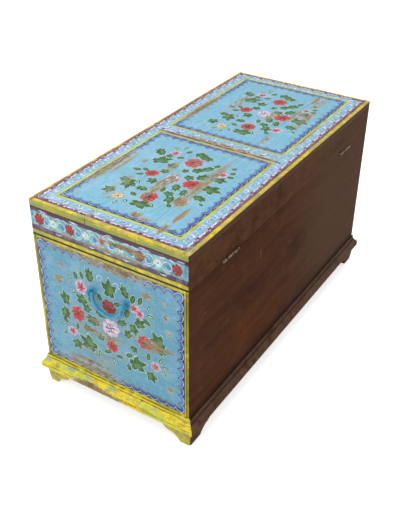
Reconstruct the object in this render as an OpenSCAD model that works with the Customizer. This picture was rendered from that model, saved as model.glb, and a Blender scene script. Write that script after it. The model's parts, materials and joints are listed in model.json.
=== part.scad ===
// Painted dowry chest: plank carcass on a moulded plinth with bracket feet,
// a deep plank lid on two butt hinges, a bail handle on each end, and a hasp and staple.
// Millimetres. X runs along the chest, the front faces -Y, the hinges are at +Y,
// +Z is up, and the origin is on the floor at the middle of the footprint.

/* [Carcass] */
// Length of the carcass and of the lid
body_length = 1100; // [900:10:1300]
// Depth of the carcass and of the lid, front to back
body_depth = 496; // [420:4:600]
// Height of the carcass boards, from the top of the feet to the lid seam
carcass_height = 464; // [400:4:560]
// Thickness of the front, back and end boards
board_t = 22; // [19:0.5:28]
// Height of the lower board on each side; the upper board takes the rest
lower_board_height = 243; // [200:1:260]
// Thickness of the front and back boards left in front of each end board's edge
corner_lip = 9; // [6:0.5:12]
// Thickness of the floor boards
floor_board_t = 18; // [14:1:24]
// Height of the bearers that carry the floor boards
bearer_height = 25; // [20:1:35]
// Width of the floor bearers
bearer_width = 45; // [30:1:60]
// Distance from each end of the carcass to the middle of its floor bearer
bearer_inset = 190; // [120:5:260]

/* [Lid] */
// Gap at the seam between the lid and the carcass
seam_gap = 0.6; // [0.4:0.1:0.9]
// Height of the lid's rails
rail_height = 83; // [70:1:110]
// Thickness of the lid's rails
rail_t = 20; // [20:0.5:26]
// Thickness of the lid's top boards
top_board_t = 20; // [16:0.5:26]
// Width of the lid's front top board
top_front_width = 186; // [140:1:200]
// Width of the lid's back top board
top_back_width = 155; // [120:1:180]
// Width of the battens under the lid's top
batten_width = 42; // [30:1:60]
// Thickness of the battens
batten_t = 18; // [12:1:24]
// Distance from each end of the lid to the middle of its batten
batten_inset = 300; // [200:5:380]
// Radius of the eased long edges of the lid's top
edge_r = 2; // [1:0.5:4]

/* [Plinth and feet] */
// Height of the feet
foot_height = 56; // [45:1:75]
// Height of the plinth moulding
moulding_height = 43; // [38:1:52]
// How far the moulding's nose stands out from the carcass
moulding_out = 19.7; // [17:0.1:24]
// How far the bead at the moulding's top stands out
bead_out = 4.5; // [3:0.5:6]
// Height of the bead at the moulding's top
bead_height = 8; // [6:0.5:10]
// Height of the upright face at the moulding's nose
nose_height = 11; // [9:0.5:14]
// How far a bracket foot's face stands out from the carcass, at its top
foot_out = 12; // [9:0.5:14]
// How far the face of a foot leans in from its top to the floor
foot_taper = 8; // [4:0.5:9]
// Radius of a foot's outer corner at its top
foot_corner_r = 16; // [12:1:20]
// Thickness of the bracket feet
bracket_t = 25; // [18:1:30]
// Radius of the moulding's outer corners
moulding_corner_r = 6; // [3:0.5:9]
// Length of the brackets on the front and back
bracket_long = 112; // [95:1:140]
// Length of the brackets on the ends
bracket_short = 100; // [85:1:120]
// Length of the flat pad under the long brackets
pad_long = 60; // [45:1:75]
// Length of the flat pad under the short brackets
pad_short = 40; // [32:1:60]
// Side of the square block inside each foot
foot_block_side = 26; // [20:1:46]

/* [Hinges] */
// Length of each butt hinge
hinge_length = 80; // [60:2:100]
// Distance from each end of the chest to the middle of its hinge
hinge_inset = 190; // [120:5:260]
// Width of a hinge leaf inside the seam
leaf_width = 17; // [14:0.5:18]
// Thickness of a hinge leaf
leaf_t = 1.8; // [1.4:0.1:2.4]
// Radius of the hinge barrel
barrel_r = 3.3; // [3:0.1:4.5]
// Radius of the hinge pin
hinge_pin_r = 1.6; // [1.4:0.1:2]
// How far the hinge axis stands out from the back face
axis_out = 2.5; // [2:0.1:3]
// Running clearance round the hinge pins
pin_play = 0.06; // [0.03:0.01:0.1]
// Gap between neighbouring knuckles
knuckle_gap = 0.3; // [0.2:0.1:0.5]

/* [End handles] */
// Distance between the eyes of a handle
eye_spacing = 112; // [90:1:130]
// Height of the handle's pivot below the lid seam
handle_drop = 115; // [70:1:130]
// How far the handle's pivot stands out from the end board
pivot_out = 13; // [12:0.5:18]
// Radius of the bail's bar
bail_r = 5; // [4:0.25:6]
// Straight length of each leg of the bail
bail_leg = 6; // [4:1:20]
// Radius of the pintles at the bail's ends
pintle_r = 4.4; // [3.5:0.1:5]
// Play between a pintle and its eye
eye_play = 0.1; // [0.05:0.01:0.1]
// Radius of the wire of an eye
eye_wire_r = 2.6; // [2.2:0.1:3]
// Radius of the rose behind each eye
rose_r = 13; // [10:0.5:16]
// Thickness of the rose
rose_t = 1.8; // [1.2:0.1:2.2]
// Side of the square washer inside the chest
washer_side = 20; // [16:1:26]

/* [Hasp and staple] */
// Width of the hasp strap
hasp_width = 28; // [26:1:34]
// Length of the hasp strap below its pin
hasp_length = 92; // [86:1:105]
// Thickness of the hasp strap
hasp_t = 3; // [2.5:0.1:3.2]
// Thickness of the plates behind the hasp and the staple
plate_t = 2; // [1.5:0.1:2.2]
// Width of the two plates
plate_width = 44; // [42:1:60]
// Length of the hasp's plate below its pin
hasp_plate_height = 46; // [38:1:50]
// Height of the staple's plate on the lid
staple_plate_height = 50; // [44:1:56]
// Radius of the hasp's barrel
hasp_barrel_r = 4; // [3.8:0.1:4.3]
// Radius of the hasp's pin
hasp_pin_r = 2; // [1.6:0.1:2.2]
// Depth of the hasp's pin below the seam
hasp_pin_drop = 22; // [18:1:26]
// Height of the staple's eye above the foot of the lid
staple_rise = 45; // [42:1:48]
// Thickness of the staple's tongue
staple_t = 6; // [4:0.5:7]
// Radius of the padlock hole through the staple
padlock_r = 4; // [3.8:0.1:4.2]
// Metal round the padlock hole
staple_rim = 2.8; // [2.5:0.1:3]
// Play between the staple and the hasp's slot
slot_play = 1.5; // [1:0.1:2.5]

/* [Fasteners] */
// Radius of a nail's shank
nail_r = 1.4; // [1:0.1:1.8]
// Radius of a nail's head
nail_head_r = 3; // [2.2:0.1:4]
// Height of a nail's head
nail_head_t = 1.2; // [0.8:0.1:1.6]
// Length of a nail
nail_length = 42; // [34:1:55]
// Length of a nail through the plinth moulding
plinth_nail_length = 38; // [30:1:40]
// Radius of a hinge screw's shank
screw_r = 1.5; // [1.2:0.1:1.8]
// Radius of a hinge screw's head
screw_head_r = 2.8; // [2.4:0.1:3.2]
// Length of a hinge screw
screw_length = 16; // [12:1:24]
// Length of the small plate nails
tack_length = 14; // [8:1:16]

/* [Hidden] */

$fn = 48;
EPS = 0.01;

// Levels
seam_z = foot_height + carcass_height;
rail_z = seam_z + seam_gap;
top_z = rail_z + rail_height;
lid_z = top_z + top_board_t;
bed_z = foot_height + bearer_height;

// Half sizes and inner faces
half_l = body_length / 2;
half_d = body_depth / 2;
inner_l = body_length - 2 * board_t;
inner_d = body_depth - 2 * board_t;
upper_board_height = carcass_height - lower_board_height;
top_middle_width = body_depth - top_front_width - top_back_width;
lid_inner_d = body_depth - 2 * rail_t;

// Hinge places
axis_y = half_d + axis_out;
axis_z = seam_z + seam_gap / 2;
hinge_x = half_l - hinge_inset;
barrel_play = 0.5;
leaf_play = 0.1;
knuckles = 5;
knuckle_l = hinge_length / knuckles;
screws_per_leaf = 3;
screw_y = half_d - leaf_width / 2;

// Handle places
pivot_z = seam_z - handle_drop;
eye_hole_r = pintle_r + eye_play;
eye_wear = 0.6;
eye_mid_r = eye_hole_r + eye_wire_r - eye_wear;
shank_r = 3;
shank_play = 0.2;
washer_t = 2;
rivet_r = 5;
rivet_t = 2.5;
pintle_head_r = 6.2;
pintle_head_t = 2.5;
head_play = 0.5;
leg_y = eye_spacing / 2 - eye_wire_r - head_play - bail_r;

// Hasp places
hasp_play = 0.3;
hasp_axis_y = -half_d - plate_t - hasp_barrel_r - hasp_play;
hasp_axis_z = seam_z - hasp_pin_drop;
strap_front_y = hasp_axis_y - hasp_t / 2;
staple_z = rail_z + staple_rise;
slot_reach = staple_z - hasp_axis_z;
padlock_y = strap_front_y - padlock_r - 1;
slot_half_w = staple_t / 2 + slot_play;
slot_half_h = padlock_r + staple_rim + slot_play;
hasp_knuckle_l = hasp_width / 3;
hasp_gap = 0.3;
tack_r = 1.2;
tack_head_r = 3;
tack_head_t = 1.2;
tack_inset = 6;

// Colours
PAINT_BLUE = [0.42, 0.68, 0.80];
PAINT_YELLOW = [0.85, 0.76, 0.18];
PAINT_TEAL = [0.30, 0.58, 0.62];
STAINED = [0.26, 0.16, 0.12];
BARE = [0.55, 0.42, 0.28];
IRON = [0.25, 0.24, 0.23];
DULL_STEEL = [0.50, 0.47, 0.42];

// ---------- fasteners ----------

// A nail or tack that points down -Z from a head flush with z = 0
module nail(length = nail_length, r = nail_r, head_r = nail_head_r, head_t = nail_head_t) {
  translate([0, 0, -head_t]) cylinder(r = head_r, h = head_t, $fn = 20);
  translate([0, 0, -length]) cylinder(r = r, h = length, $fn = 16);
}

// A countersunk screw that points down -Z from a head flush with z = 0
module screw() {
  sink = screw_head_r - screw_r;
  translate([0, 0, -sink]) cylinder(r1 = screw_r, r2 = screw_head_r, h = sink, $fn = 24);
  translate([0, 0, -screw_length]) cylinder(r = screw_r, h = screw_length, $fn = 16);
}

// A tack whose head stands on a plate at z = 0 and points down -Z
module tack() {
  cylinder(r = tack_head_r, h = tack_head_t, $fn = 20);
  translate([0, 0, -tack_length]) cylinder(r = tack_r, h = tack_length, $fn = 16);
}

// Points its children's -Z along +Y, -Y, +X or -X, so that a nail is driven that way
module drive_back() { rotate([90, 0, 0]) children(); }
module drive_forward() { rotate([-90, 0, 0]) children(); }
module drive_right() { rotate([0, -90, 0]) children(); }
module drive_left() { rotate([0, 90, 0]) children(); }

// Heights of the nails through a long board's ends, and the bearers' nails below them
corner_nail_z = [
  foot_height + moulding_height + 35,
  foot_height + lower_board_height - 30,
  foot_height + lower_board_height + 35,
  seam_z - 40
];
bearer_nail_z = foot_height + bearer_height / 2;

// Nails that hold the front and back boards to the end boards and to the bearers,
// and the floor boards to the bearers
module carcass_nails() {
  floor_nail_y = inner_d / 10;
  for (x = [-1, 1] * (half_l - bearer_inset), k = [-1, 0, 1], dy = [-1, 1] * floor_nail_y)
    translate([x, k * inner_d / 3 + dy, bed_z + floor_board_t]) nail();
  for (side = [-1, 1]) {
    for (x = [-1, 1] * (half_l - board_t / 2), z = corner_nail_z)
      long_face_nail(side, x, z, half_d);
    for (x = [-1, 1] * (half_l - bearer_inset), dx = [-1, 1] * bearer_width / 4)
      long_face_nail(side, x + dx, bearer_nail_z, half_d);
  }
}

// One nail through the front (side -1) or back (side 1) face at a given y
module long_face_nail(side, x, z, y, length = nail_length) {
  translate([x, side * y, z]) {
    if (side > 0) drive_forward() nail(length);
    else drive_back() nail(length);
  }
}

// One nail through the right (side 1) or left (side -1) face at a given x
module end_face_nail(side, y, z, x, length = nail_length) {
  translate([side * x, y, z]) {
    if (side > 0) drive_left() nail(length);
    else drive_right() nail(length);
  }
}

// Nails through the nose of the plinth moulding into the boards
nose_nail_z = foot_height + nose_height / 2;
module plinth_nails() {
  for (side = [-1, 1]) {
    for (k = [-1.5, -0.5, 0.5, 1.5])
      long_face_nail(side, k * body_length / 3.6, nose_nail_z, half_d + moulding_out, plinth_nail_length);
    for (k = [-1, 0, 1])
      end_face_nail(side, k * body_depth / 2.8, nose_nail_z, half_l + moulding_out, plinth_nail_length);
  }
}

// Nails through the lid's rails at the corners and through its top into rails and battens
module lid_nails() {
  for (side = [-1, 1], x = [-1, 1] * (half_l - rail_t / 2), k = [0.2, 0.62])
    long_face_nail(side, x, rail_z + k * rail_height, half_d);
  long_edge_count = 5;
  for (x = [-1, 1] * (half_l - rail_t / 2), y = top_nail_y) translate([x, y, lid_z]) nail();
  for (side = [-1, 1], k = [1 : long_edge_count])
    translate([-half_l + k * body_length / (long_edge_count + 1), side * (half_d - rail_t / 2), lid_z])
      nail();
  for (x = [-1, 1] * (half_l - batten_inset), y = top_nail_y)
    translate([x, y, lid_z]) nail(top_board_t + batten_t * 0.7);
}

// Two nails across each top board
top_nail_y = [
  -half_d + rail_t + 16, -half_d + top_front_width - 22,
  -half_d + top_front_width + 22, half_d - top_back_width - 22,
  half_d - top_back_width + 22, half_d - rail_t - 16
];

// ---------- carcass ----------

// A front or back board with a rebate at each end for the end boards
module long_board(side, z, height, t, end_t) {
  difference() {
    translate([-half_l, side > 0 ? half_d - t : -half_d, z]) cube([body_length, t, height]);
    for (x = [-1, 1]) translate([
      x > 0 ? half_l - end_t : -half_l - EPS,
      side > 0 ? half_d - t - EPS : -half_d + corner_lip,
      z - EPS
    ]) cube([end_t + EPS, t - corner_lip + EPS, height + 2 * EPS]);
  }
}

// An end board that sits in the rebates
module end_board(side, z, height, t) {
  translate([side > 0 ? half_l - t : -half_l, -half_d + corner_lip, z])
    cube([t, body_depth - 2 * corner_lip, height]);
}

module front_upper_board() color(PAINT_BLUE) difference() {
  long_board(-1, foot_height + lower_board_height, upper_board_height, board_t, board_t);
  carcass_nails();
  hasp_plate_nails();
}

module front_lower_board() color(PAINT_BLUE) difference() {
  long_board(-1, foot_height, lower_board_height, board_t, board_t);
  carcass_nails();
  plinth_nails();
}

module back_upper_board() color(STAINED) difference() {
  long_board(1, foot_height + lower_board_height, upper_board_height, board_t, board_t);
  carcass_nails();
  hinge_mortises(-1);
  hinge_screws(-1);
}

module back_lower_board() color(STAINED) difference() {
  long_board(1, foot_height, lower_board_height, board_t, board_t);
  carcass_nails();
  plinth_nails();
}

module end_upper_board(side) color(PAINT_BLUE) difference() {
  end_board(side, foot_height + lower_board_height, upper_board_height, board_t);
  carcass_nails();
  for (y = [-1, 1] * eye_spacing / 2) translate([side * half_l, y, pivot_z]) rotate([0, 90, 0])
    cylinder(r = shank_r + shank_play, h = 4 * board_t, center = true);
}

module end_lower_board(side) color(PAINT_BLUE) difference() {
  end_board(side, foot_height, lower_board_height, board_t);
  carcass_nails();
  plinth_nails();
}

// Three boards side by side make the floor, on two bearers
module floor_board(k) color(BARE) difference() {
  width = inner_d / 3;
  translate([-inner_l / 2, -inner_d / 2 + k * width, bed_z]) cube([inner_l, width, floor_board_t]);
  carcass_nails();
}

module floor_bearer(side) color(BARE) difference() {
  translate([side * (half_l - bearer_inset) - bearer_width / 2, -inner_d / 2, foot_height])
    cube([bearer_width, inner_d, bearer_height]);
  carcass_nails();
}

// ---------- plinth ----------

// Points on an arc from angle a to angle b
function arc(cx, cy, r, a, b, n = 8) =
  [for (k = [0 : n]) [cx + r * cos(a + (b - a) * k / n), cy + r * sin(a + (b - a) * k / n)]];

// The moulding's section: x is out from the carcass, y is up from the feet.
// A bead at the top over a quirk, a hollow that turns into a round, and an upright nose.
bead_r = 3;
nose_foot_r = 2;
nose_step = 1.2;
quirk_depth = 2;
quirk_height = 1.8;
function moulding_section() = let (
  bead_foot = moulding_height - bead_height,
  run = moulding_out - nose_step - bead_out - 1,
  rise = bead_foot - quirk_height - nose_height,
  steps = 14
) concat(
  [[0, 0]],
  arc(moulding_out - nose_foot_r, nose_foot_r, nose_foot_r, -90, 0, 4),
  [[moulding_out, nose_height]],
  [for (k = [0 : steps]) let (t = k / steps)
    [moulding_out - nose_step - run * (t - 0.11 * sin(360 * t)), nose_height + rise * t]],
  [[bead_out - quirk_depth, bead_foot - quirk_height], [bead_out - quirk_depth, bead_foot]],
  [[bead_out, bead_foot]],
  arc(bead_out - bead_r, moulding_height - bead_r, bead_r, 0, 90, 5),
  [[0, moulding_height]]
);

// A square-cornered plan with round outer corners
module round_plan(half_x, half_y, r) {
  square([2 * half_x, 2 * (half_y - r)], center = true);
  square([2 * (half_x - r), 2 * half_y], center = true);
  for (x = [-1, 1] * (half_x - r), y = [-1, 1] * (half_y - r)) translate([x, y]) circle(r = r);
}

// The space that the whole moulding may fill
module moulding_plan() translate([0, 0, foot_height]) linear_extrude(height = moulding_height)
  round_plan(half_l + moulding_out, half_d + moulding_out, moulding_corner_r);

// A mitred length of moulding along X, standing out from y = 0 towards -Y
module mitred_moulding(length) {
  reach = length / 2;
  intersection() {
    rotate([90, 0, 90]) translate([0, 0, -reach - moulding_out]) mirror([1, 0, 0])
      linear_extrude(height = length + 2 * moulding_out) polygon(moulding_section());
    linear_extrude(height = moulding_height) polygon([
      [-reach, 0], [reach, 0], [reach + moulding_out, -moulding_out], [-reach - moulding_out, -moulding_out]
    ]);
  }
}

module plinth_long_moulding(side) difference() {
  intersection() {
    rotate([0, 0, side > 0 ? 180 : 0]) translate([0, -half_d, foot_height]) mitred_moulding(body_length);
    moulding_plan();
  }
  plinth_nails();
}

module plinth_end_moulding(side) difference() {
  intersection() {
    rotate([0, 0, side > 0 ? 90 : -90]) translate([0, -half_l, foot_height]) mitred_moulding(body_depth);
    moulding_plan();
  }
  plinth_nails();
}

// The outline of a bracket foot, from its corner at x = 0 to the tip of its ogee
function bracket_outline(length, pad) = let (steps = 16) concat(
  [[0, 0]],
  [for (k = [0 : steps]) let (t = k / steps)
    [pad + (length - pad) * t, foot_height * (t + 0.13 * sin(360 * t))]],
  [[0, foot_height]]
);

// One bracket of the front right foot: it runs from the corner at x = 0 along -X,
// its face at y = 0 looks towards -Y, and its corner end is mitred
module bracket(length, pad) {
  intersection() {
    rotate([90, 0, 0]) translate([0, 0, -bracket_t]) mirror([1, 0, 0])
      linear_extrude(height = bracket_t) polygon(bracket_outline(length, pad));
    rotate([90, 0, -90]) mirror([1, 0, 0]) linear_extrude(height = length)
      polygon([[foot_taper, 0], [bracket_t, 0], [bracket_t, foot_height], [0, foot_height]]);
    linear_extrude(height = foot_height)
      polygon([[0, 0], [-length, 0], [-length, bracket_t], [-bracket_t, bracket_t]]);
    union() {
      translate([-foot_corner_r, foot_corner_r, 0])
        cylinder(r1 = foot_corner_r - foot_taper, r2 = foot_corner_r, h = foot_height);
      translate([-length, 0, 0]) cube([length - foot_corner_r, bracket_t, foot_height]);
      translate([-length, foot_corner_r, 0]) cube([length, bracket_t, foot_height]);
    }
  }
}

// Puts a front right part at any corner: front is -1 or 1 for front or back
module at_corner(right, back) {
  mirror([right > 0 ? 0 : 1, 0, 0]) mirror([0, back > 0 ? 1 : 0, 0])
    translate([half_l + foot_out, -half_d - foot_out, 0]) children();
}

module foot_long(right, back) at_corner(right, back) bracket(bracket_long, pad_long);

module foot_end(right, back) at_corner(right, back)
  mirror([1, 1, 0]) bracket(bracket_short, pad_short);

module foot_blocks() color(BARE) for (right = [-1, 1], back = [-1, 1]) at_corner(right, back)
  translate([-bracket_t - foot_block_side, bracket_t, 0])
    cube([foot_block_side, foot_block_side, foot_height]);

// ---------- lid ----------

module lid_long_rail(side) difference() {
  long_board(side, rail_z, rail_height, rail_t, rail_t);
  lid_nails();
}

module lid_front_rail() color(PAINT_TEAL) difference() {
  lid_long_rail(-1);
  staple_nails();
  staple_tang();
}

module lid_back_rail() color(STAINED) difference() {
  lid_long_rail(1);
  hinge_mortises(1);
  hinge_screws(1);
}

module lid_end_rail(side) color(PAINT_TEAL) difference() {
  end_board(side, rail_z, rail_height, rail_t);
  lid_nails();
}

// A top board from y to y + width; the outer ones have an eased outer edge
module top_board(y, width, eased) color(PAINT_BLUE) difference() {
  if (eased == 0) translate([-half_l, y, top_z]) cube([body_length, width, top_board_t]);
  else translate([-half_l, eased > 0 ? y : y + width, top_z]) mirror([0, eased > 0 ? 0 : 1, 0])
    rotate([90, 0, 90]) linear_extrude(height = body_length) union() {
      square([width, top_board_t - edge_r]);
      square([width - edge_r, top_board_t]);
      translate([width - edge_r, top_board_t - edge_r]) circle(r = edge_r);
    }
  lid_nails();
}

module top_middle_board() top_board(-half_d + top_front_width, top_middle_width, 0);

module lid_batten(side) color(BARE) difference() {
  translate([side * (half_l - batten_inset) - batten_width / 2, -lid_inner_d / 2, top_z - batten_t])
    cube([batten_width, lid_inner_d, batten_t]);
  lid_nails();
}

// ---------- hinges ----------

// The rest of a hinge is built along X at its own middle, then placed twice
module at_hinges() {
  for (side = [-1, 1]) translate([side * hinge_x, axis_y, axis_z]) children();
}

// Barrel from x to x + length on the hinge's axis
module barrel(x, length, r) {
  translate([x, 0, 0]) rotate([0, 90, 0]) cylinder(r = r, h = length);
}

// Which knuckles belong to the carcass leaf (way -1) or to the lid leaf (way 1)
function own_knuckles(way) = [for (k = [0 : knuckles - 1]) if ((k % 2 == 0) == (way < 0)) k];

// A leaf with its knuckles; way is -1 for the leaf on the carcass and 1 for the one on the lid
module leaf(way) {
  plate_z = way < 0 ? -seam_gap / 2 - leaf_t : seam_gap / 2;
  back_edge = -barrel_r - barrel_play;
  inner_edge = -axis_out - leaf_width;
  difference() {
    union() {
      translate([-hinge_length / 2, inner_edge, plate_z])
        cube([hinge_length, back_edge - inner_edge, leaf_t]);
      for (k = own_knuckles(way)) {
        x = -hinge_length / 2 + k * knuckle_l + knuckle_gap / 2;
        barrel(x, knuckle_l - knuckle_gap, barrel_r);
        translate([x, back_edge - EPS, plate_z]) cube([knuckle_l - knuckle_gap, -back_edge, leaf_t]);
      }
    }
    barrel(-hinge_length, 2 * hinge_length, hinge_pin_r + pin_play);
    translate([0, -axis_y, -axis_z]) leaf_screws(way);
  }
}

// The three screws of one leaf, with the hinge's middle at x = 0
module leaf_screws(way) {
  for (k = [0 : screws_per_leaf - 1])
    translate([(k - 1) * hinge_length / screws_per_leaf, screw_y, way < 0 ? seam_z : rail_z])
      mirror([0, 0, way < 0 ? 0 : 1]) screw();
}

module hinge_screws(way) color(DULL_STEEL) for (side = [-1, 1])
  translate([side * hinge_x, 0, 0]) leaf_screws(way);

// What is cut from the seam for the leaves and the barrels
module hinge_mortises(way) at_hinges() {
  half = hinge_length / 2 + leaf_play;
  translate([-half, -axis_out - leaf_width - leaf_play, way < 0 ? -seam_gap / 2 - leaf_t : -seam_gap])
    cube([2 * half, leaf_width + axis_out + leaf_play + 1, leaf_t + 1.5 * seam_gap]);
  barrel(-half - barrel_play, 2 * (half + barrel_play), barrel_r + barrel_play);
}

module hinge_leaf(side, way) color(DULL_STEEL)
  translate([side * hinge_x, axis_y, axis_z]) leaf(way);

module hinge_pin(side) color(DULL_STEEL)
  translate([side * hinge_x, axis_y, axis_z]) barrel(-hinge_length / 2, hinge_length, hinge_pin_r);

// ---------- end handles ----------

// Handle parts are built round the pivot on the right end, with +X out from the board
module at_handle(side) {
  mirror([side > 0 ? 0 : 1, 0, 0]) translate([half_l + pivot_out, 0, pivot_z]) children();
}

// The bail: pintles out through the eyes, two legs and a half round grip
module bail() color(PAINT_TEAL) {
  grip_y = leg_y;
  for (m = [0, 1]) mirror([0, m, 0]) {
    outer = eye_spacing / 2 + eye_wire_r + head_play;
    translate([0, grip_y, 0]) rotate([-90, 0, 0]) cylinder(r = pintle_r, h = outer - grip_y);
    translate([0, outer, 0]) rotate([-90, 0, 0]) cylinder(r = pintle_head_r, h = pintle_head_t);
    translate([0, grip_y, 0]) sphere(r = bail_r);
    translate([0, grip_y, -bail_leg]) cylinder(r = bail_r, h = bail_leg);
  }
  translate([0, 0, -bail_leg]) rotate([0, 90, 0]) rotate([0, 0, -90])
    rotate_extrude(angle = 180) translate([grip_y, 0]) circle(r = bail_r);
}

module handle_bail(side) at_handle(side) bail();

// An eye with its shank through the board, riveted over the washer inside
module eye() {
  shank_l = pivot_out + board_t + washer_t;
  difference() {
    union() {
      rotate([90, 0, 0]) rotate_extrude() translate([eye_mid_r, 0]) circle(r = eye_wire_r);
      translate([-shank_l, 0, 0]) rotate([0, 90, 0]) cylinder(r = shank_r, h = shank_l - eye_mid_r);
      translate([-shank_l - rivet_t, 0, 0]) rotate([0, 90, 0]) cylinder(r = rivet_r, h = rivet_t);
    }
    rotate([90, 0, 0]) cylinder(r = eye_hole_r, h = 4 * eye_wire_r, center = true);
  }
}

module handle_eyes(side) color(PAINT_TEAL) at_handle(side)
  for (y = [-1, 1] * eye_spacing / 2) translate([0, y, 0]) eye();

// A disc or plate against the board with a hole for the shank
module handle_roses() color(PAINT_TEAL) for (side = [-1, 1], y = [-1, 1] * eye_spacing / 2)
  at_handle(side) translate([-pivot_out, y, 0]) rotate([0, 90, 0]) difference() {
    union() {
      cylinder(r = rose_r, h = rose_t / 2);
      cylinder(r1 = rose_r, r2 = rose_r - 2, h = rose_t);
    }
    translate([0, 0, -1]) cylinder(r = shank_r + shank_play, h = rose_t + 2);
  }

module handle_washers() color(IRON) for (side = [-1, 1], y = [-1, 1] * eye_spacing / 2)
  at_handle(side) translate([-pivot_out - board_t - washer_t, y, 0]) rotate([0, 90, 0]) difference() {
    translate([-washer_side / 2, -washer_side / 2, 0]) cube([washer_side, washer_side, washer_t]);
    translate([0, 0, -1]) cylinder(r = shank_r + shank_play, h = washer_t + 2);
  }

// ---------- hasp and staple ----------

// Four tacks near a plate's corners
module plate_tacks(z, height) {
  for (x = [-1, 1] * (plate_width / 2 - tack_inset), k = [-1, 1] * (height / 2 - tack_inset))
    translate([x, -half_d - plate_t, z + height / 2 + k]) drive_back() tack();
}

hasp_plate_z = hasp_axis_z - hasp_plate_height;
staple_plate_z = staple_z - staple_plate_height * 0.54;

module hasp_plate_nails() color(IRON) plate_tacks(hasp_plate_z, hasp_plate_height - hasp_barrel_r);
module staple_nails() color(IRON) plate_tacks(staple_plate_z, staple_plate_height);

// A knuckle of the hasp's hinge, from x over a length
module hasp_knuckle(x, length) {
  translate([x, hasp_axis_y, hasp_axis_z]) rotate([0, 90, 0])
    cylinder(r = hasp_barrel_r, h = length);
}

module hasp_pin_hole(play) {
  reach = hasp_width / 2 + 2;
  translate([-reach, hasp_axis_y, hasp_axis_z]) rotate([0, 90, 0])
    cylinder(r = hasp_pin_r + play, h = 2 * reach);
}

// The plate on the carcass, whose two outer knuckles stand on its top
module hasp_plate() color(IRON) difference() {
  union() {
    translate([-plate_width / 2, -half_d - plate_t, hasp_plate_z])
      cube([plate_width, plate_t, hasp_plate_height + hasp_barrel_r]);
    for (x = [-hasp_width / 2, hasp_width / 2 - hasp_knuckle_l + hasp_gap]) {
      hasp_knuckle(x, hasp_knuckle_l - hasp_gap);
      translate([x, hasp_axis_y, hasp_axis_z - hasp_barrel_r])
        cube([hasp_knuckle_l - hasp_gap, -half_d - plate_t / 2 - hasp_axis_y, 2 * hasp_barrel_r]);
    }
  }
  hasp_pin_hole(pin_play);
  hasp_plate_nails();
}

module hasp_pin() color(IRON) translate([-hasp_width / 2, hasp_axis_y, hasp_axis_z])
  rotate([0, 90, 0]) cylinder(r = hasp_pin_r, h = hasp_width);

// The strap hangs from its middle knuckle; it has a slot and a rounded tip
module hasp_strap() color(IRON) {
  tip_r = hasp_width / 2;
  below = hasp_length - tip_r;
  neck = hasp_barrel_r + 1.5;
  difference() {
    union() {
      hasp_knuckle(-hasp_knuckle_l / 2, hasp_knuckle_l);
      translate([-hasp_knuckle_l / 2, strap_front_y, hasp_axis_z - neck])
        cube([hasp_knuckle_l, hasp_t, neck]);
      translate([-hasp_width / 2, strap_front_y, hasp_axis_z - below])
        cube([hasp_width, hasp_t, below - neck]);
      translate([0, strap_front_y, hasp_axis_z - below]) rotate([-90, 0, 0])
        cylinder(r = tip_r, h = hasp_t);
    }
    hasp_pin_hole(pin_play);
    translate([-slot_half_w, strap_front_y - 1, hasp_axis_z - slot_reach - slot_half_h])
      cube([2 * slot_half_w, hasp_t + 2, 2 * slot_half_h]);
  }
}

// The staple's tongue runs through its plate into the lid's rail as a square tang
module staple_tang() {
  translate([-staple_t / 2, -half_d - 1, staple_z - padlock_r])
    cube([staple_t, rail_t * 0.7 + 1, 2 * padlock_r]);
}

module staple() color(IRON) {
  rim_r = padlock_r + staple_rim;
  difference() {
    union() {
      translate([-plate_width / 2, -half_d - plate_t, staple_plate_z])
        cube([plate_width, plate_t, staple_plate_height]);
      translate([-staple_t / 2, padlock_y, staple_z]) rotate([0, 90, 0]) cylinder(r = rim_r, h = staple_t);
      translate([-staple_t / 2, padlock_y, staple_z - rim_r])
        cube([staple_t, -half_d - plate_t / 2 - padlock_y, 2 * rim_r]);
      staple_tang();
    }
    translate([-staple_t, padlock_y, staple_z]) rotate([0, 90, 0]) cylinder(r = padlock_r, h = 2 * staple_t);
    staple_nails();
  }
}

// ---------- nodes ----------

front_upper_board();
front_lower_board();
back_upper_board();
back_lower_board();
end_upper_board(-1);  // left_end_upper_board
end_lower_board(-1);  // left_end_lower_board
end_upper_board(1);  // right_end_upper_board
end_lower_board(1);  // right_end_lower_board
floor_board(0);  // floor_board_front
floor_board(1);  // floor_board_middle
floor_board(2);  // floor_board_back
floor_bearer(-1);  // floor_bearer_left
floor_bearer(1);  // floor_bearer_right
color(PAINT_YELLOW) plinth_long_moulding(-1);  // plinth_front_moulding
color(STAINED) plinth_long_moulding(1);  // plinth_back_moulding
color(PAINT_YELLOW) plinth_end_moulding(-1);  // plinth_left_moulding
color(PAINT_YELLOW) plinth_end_moulding(1);  // plinth_right_moulding
color(PAINT_YELLOW) foot_long(-1, -1);  // foot_front_left_long
color(PAINT_YELLOW) foot_long(1, -1);  // foot_front_right_long
color(STAINED) foot_long(-1, 1);  // foot_back_left_long
color(STAINED) foot_long(1, 1);  // foot_back_right_long
color(PAINT_YELLOW) foot_end(-1, -1);  // foot_front_left_end
color(PAINT_YELLOW) foot_end(1, -1);  // foot_front_right_end
color(PAINT_YELLOW) foot_end(-1, 1);  // foot_back_left_end
color(PAINT_YELLOW) foot_end(1, 1);  // foot_back_right_end
foot_blocks();
hinge_leaf(-1, -1);  // left_hinge_body_leaf
hinge_leaf(1, -1);  // right_hinge_body_leaf
hinge_pin(-1);  // left_hinge_pin
hinge_pin(1);  // right_hinge_pin
hinge_screws(-1);  // hinge_body_screws
color(IRON) carcass_nails();
color(IRON) plinth_nails();
handle_bail(-1);  // left_handle_bail
handle_bail(1);  // right_handle_bail
handle_eyes(-1);  // left_handle_eyes
handle_eyes(1);  // right_handle_eyes
handle_roses();
handle_washers();
staple();
staple_nails();
lid_front_rail();
lid_back_rail();
lid_end_rail(-1);  // lid_left_rail
lid_end_rail(1);  // lid_right_rail
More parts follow.
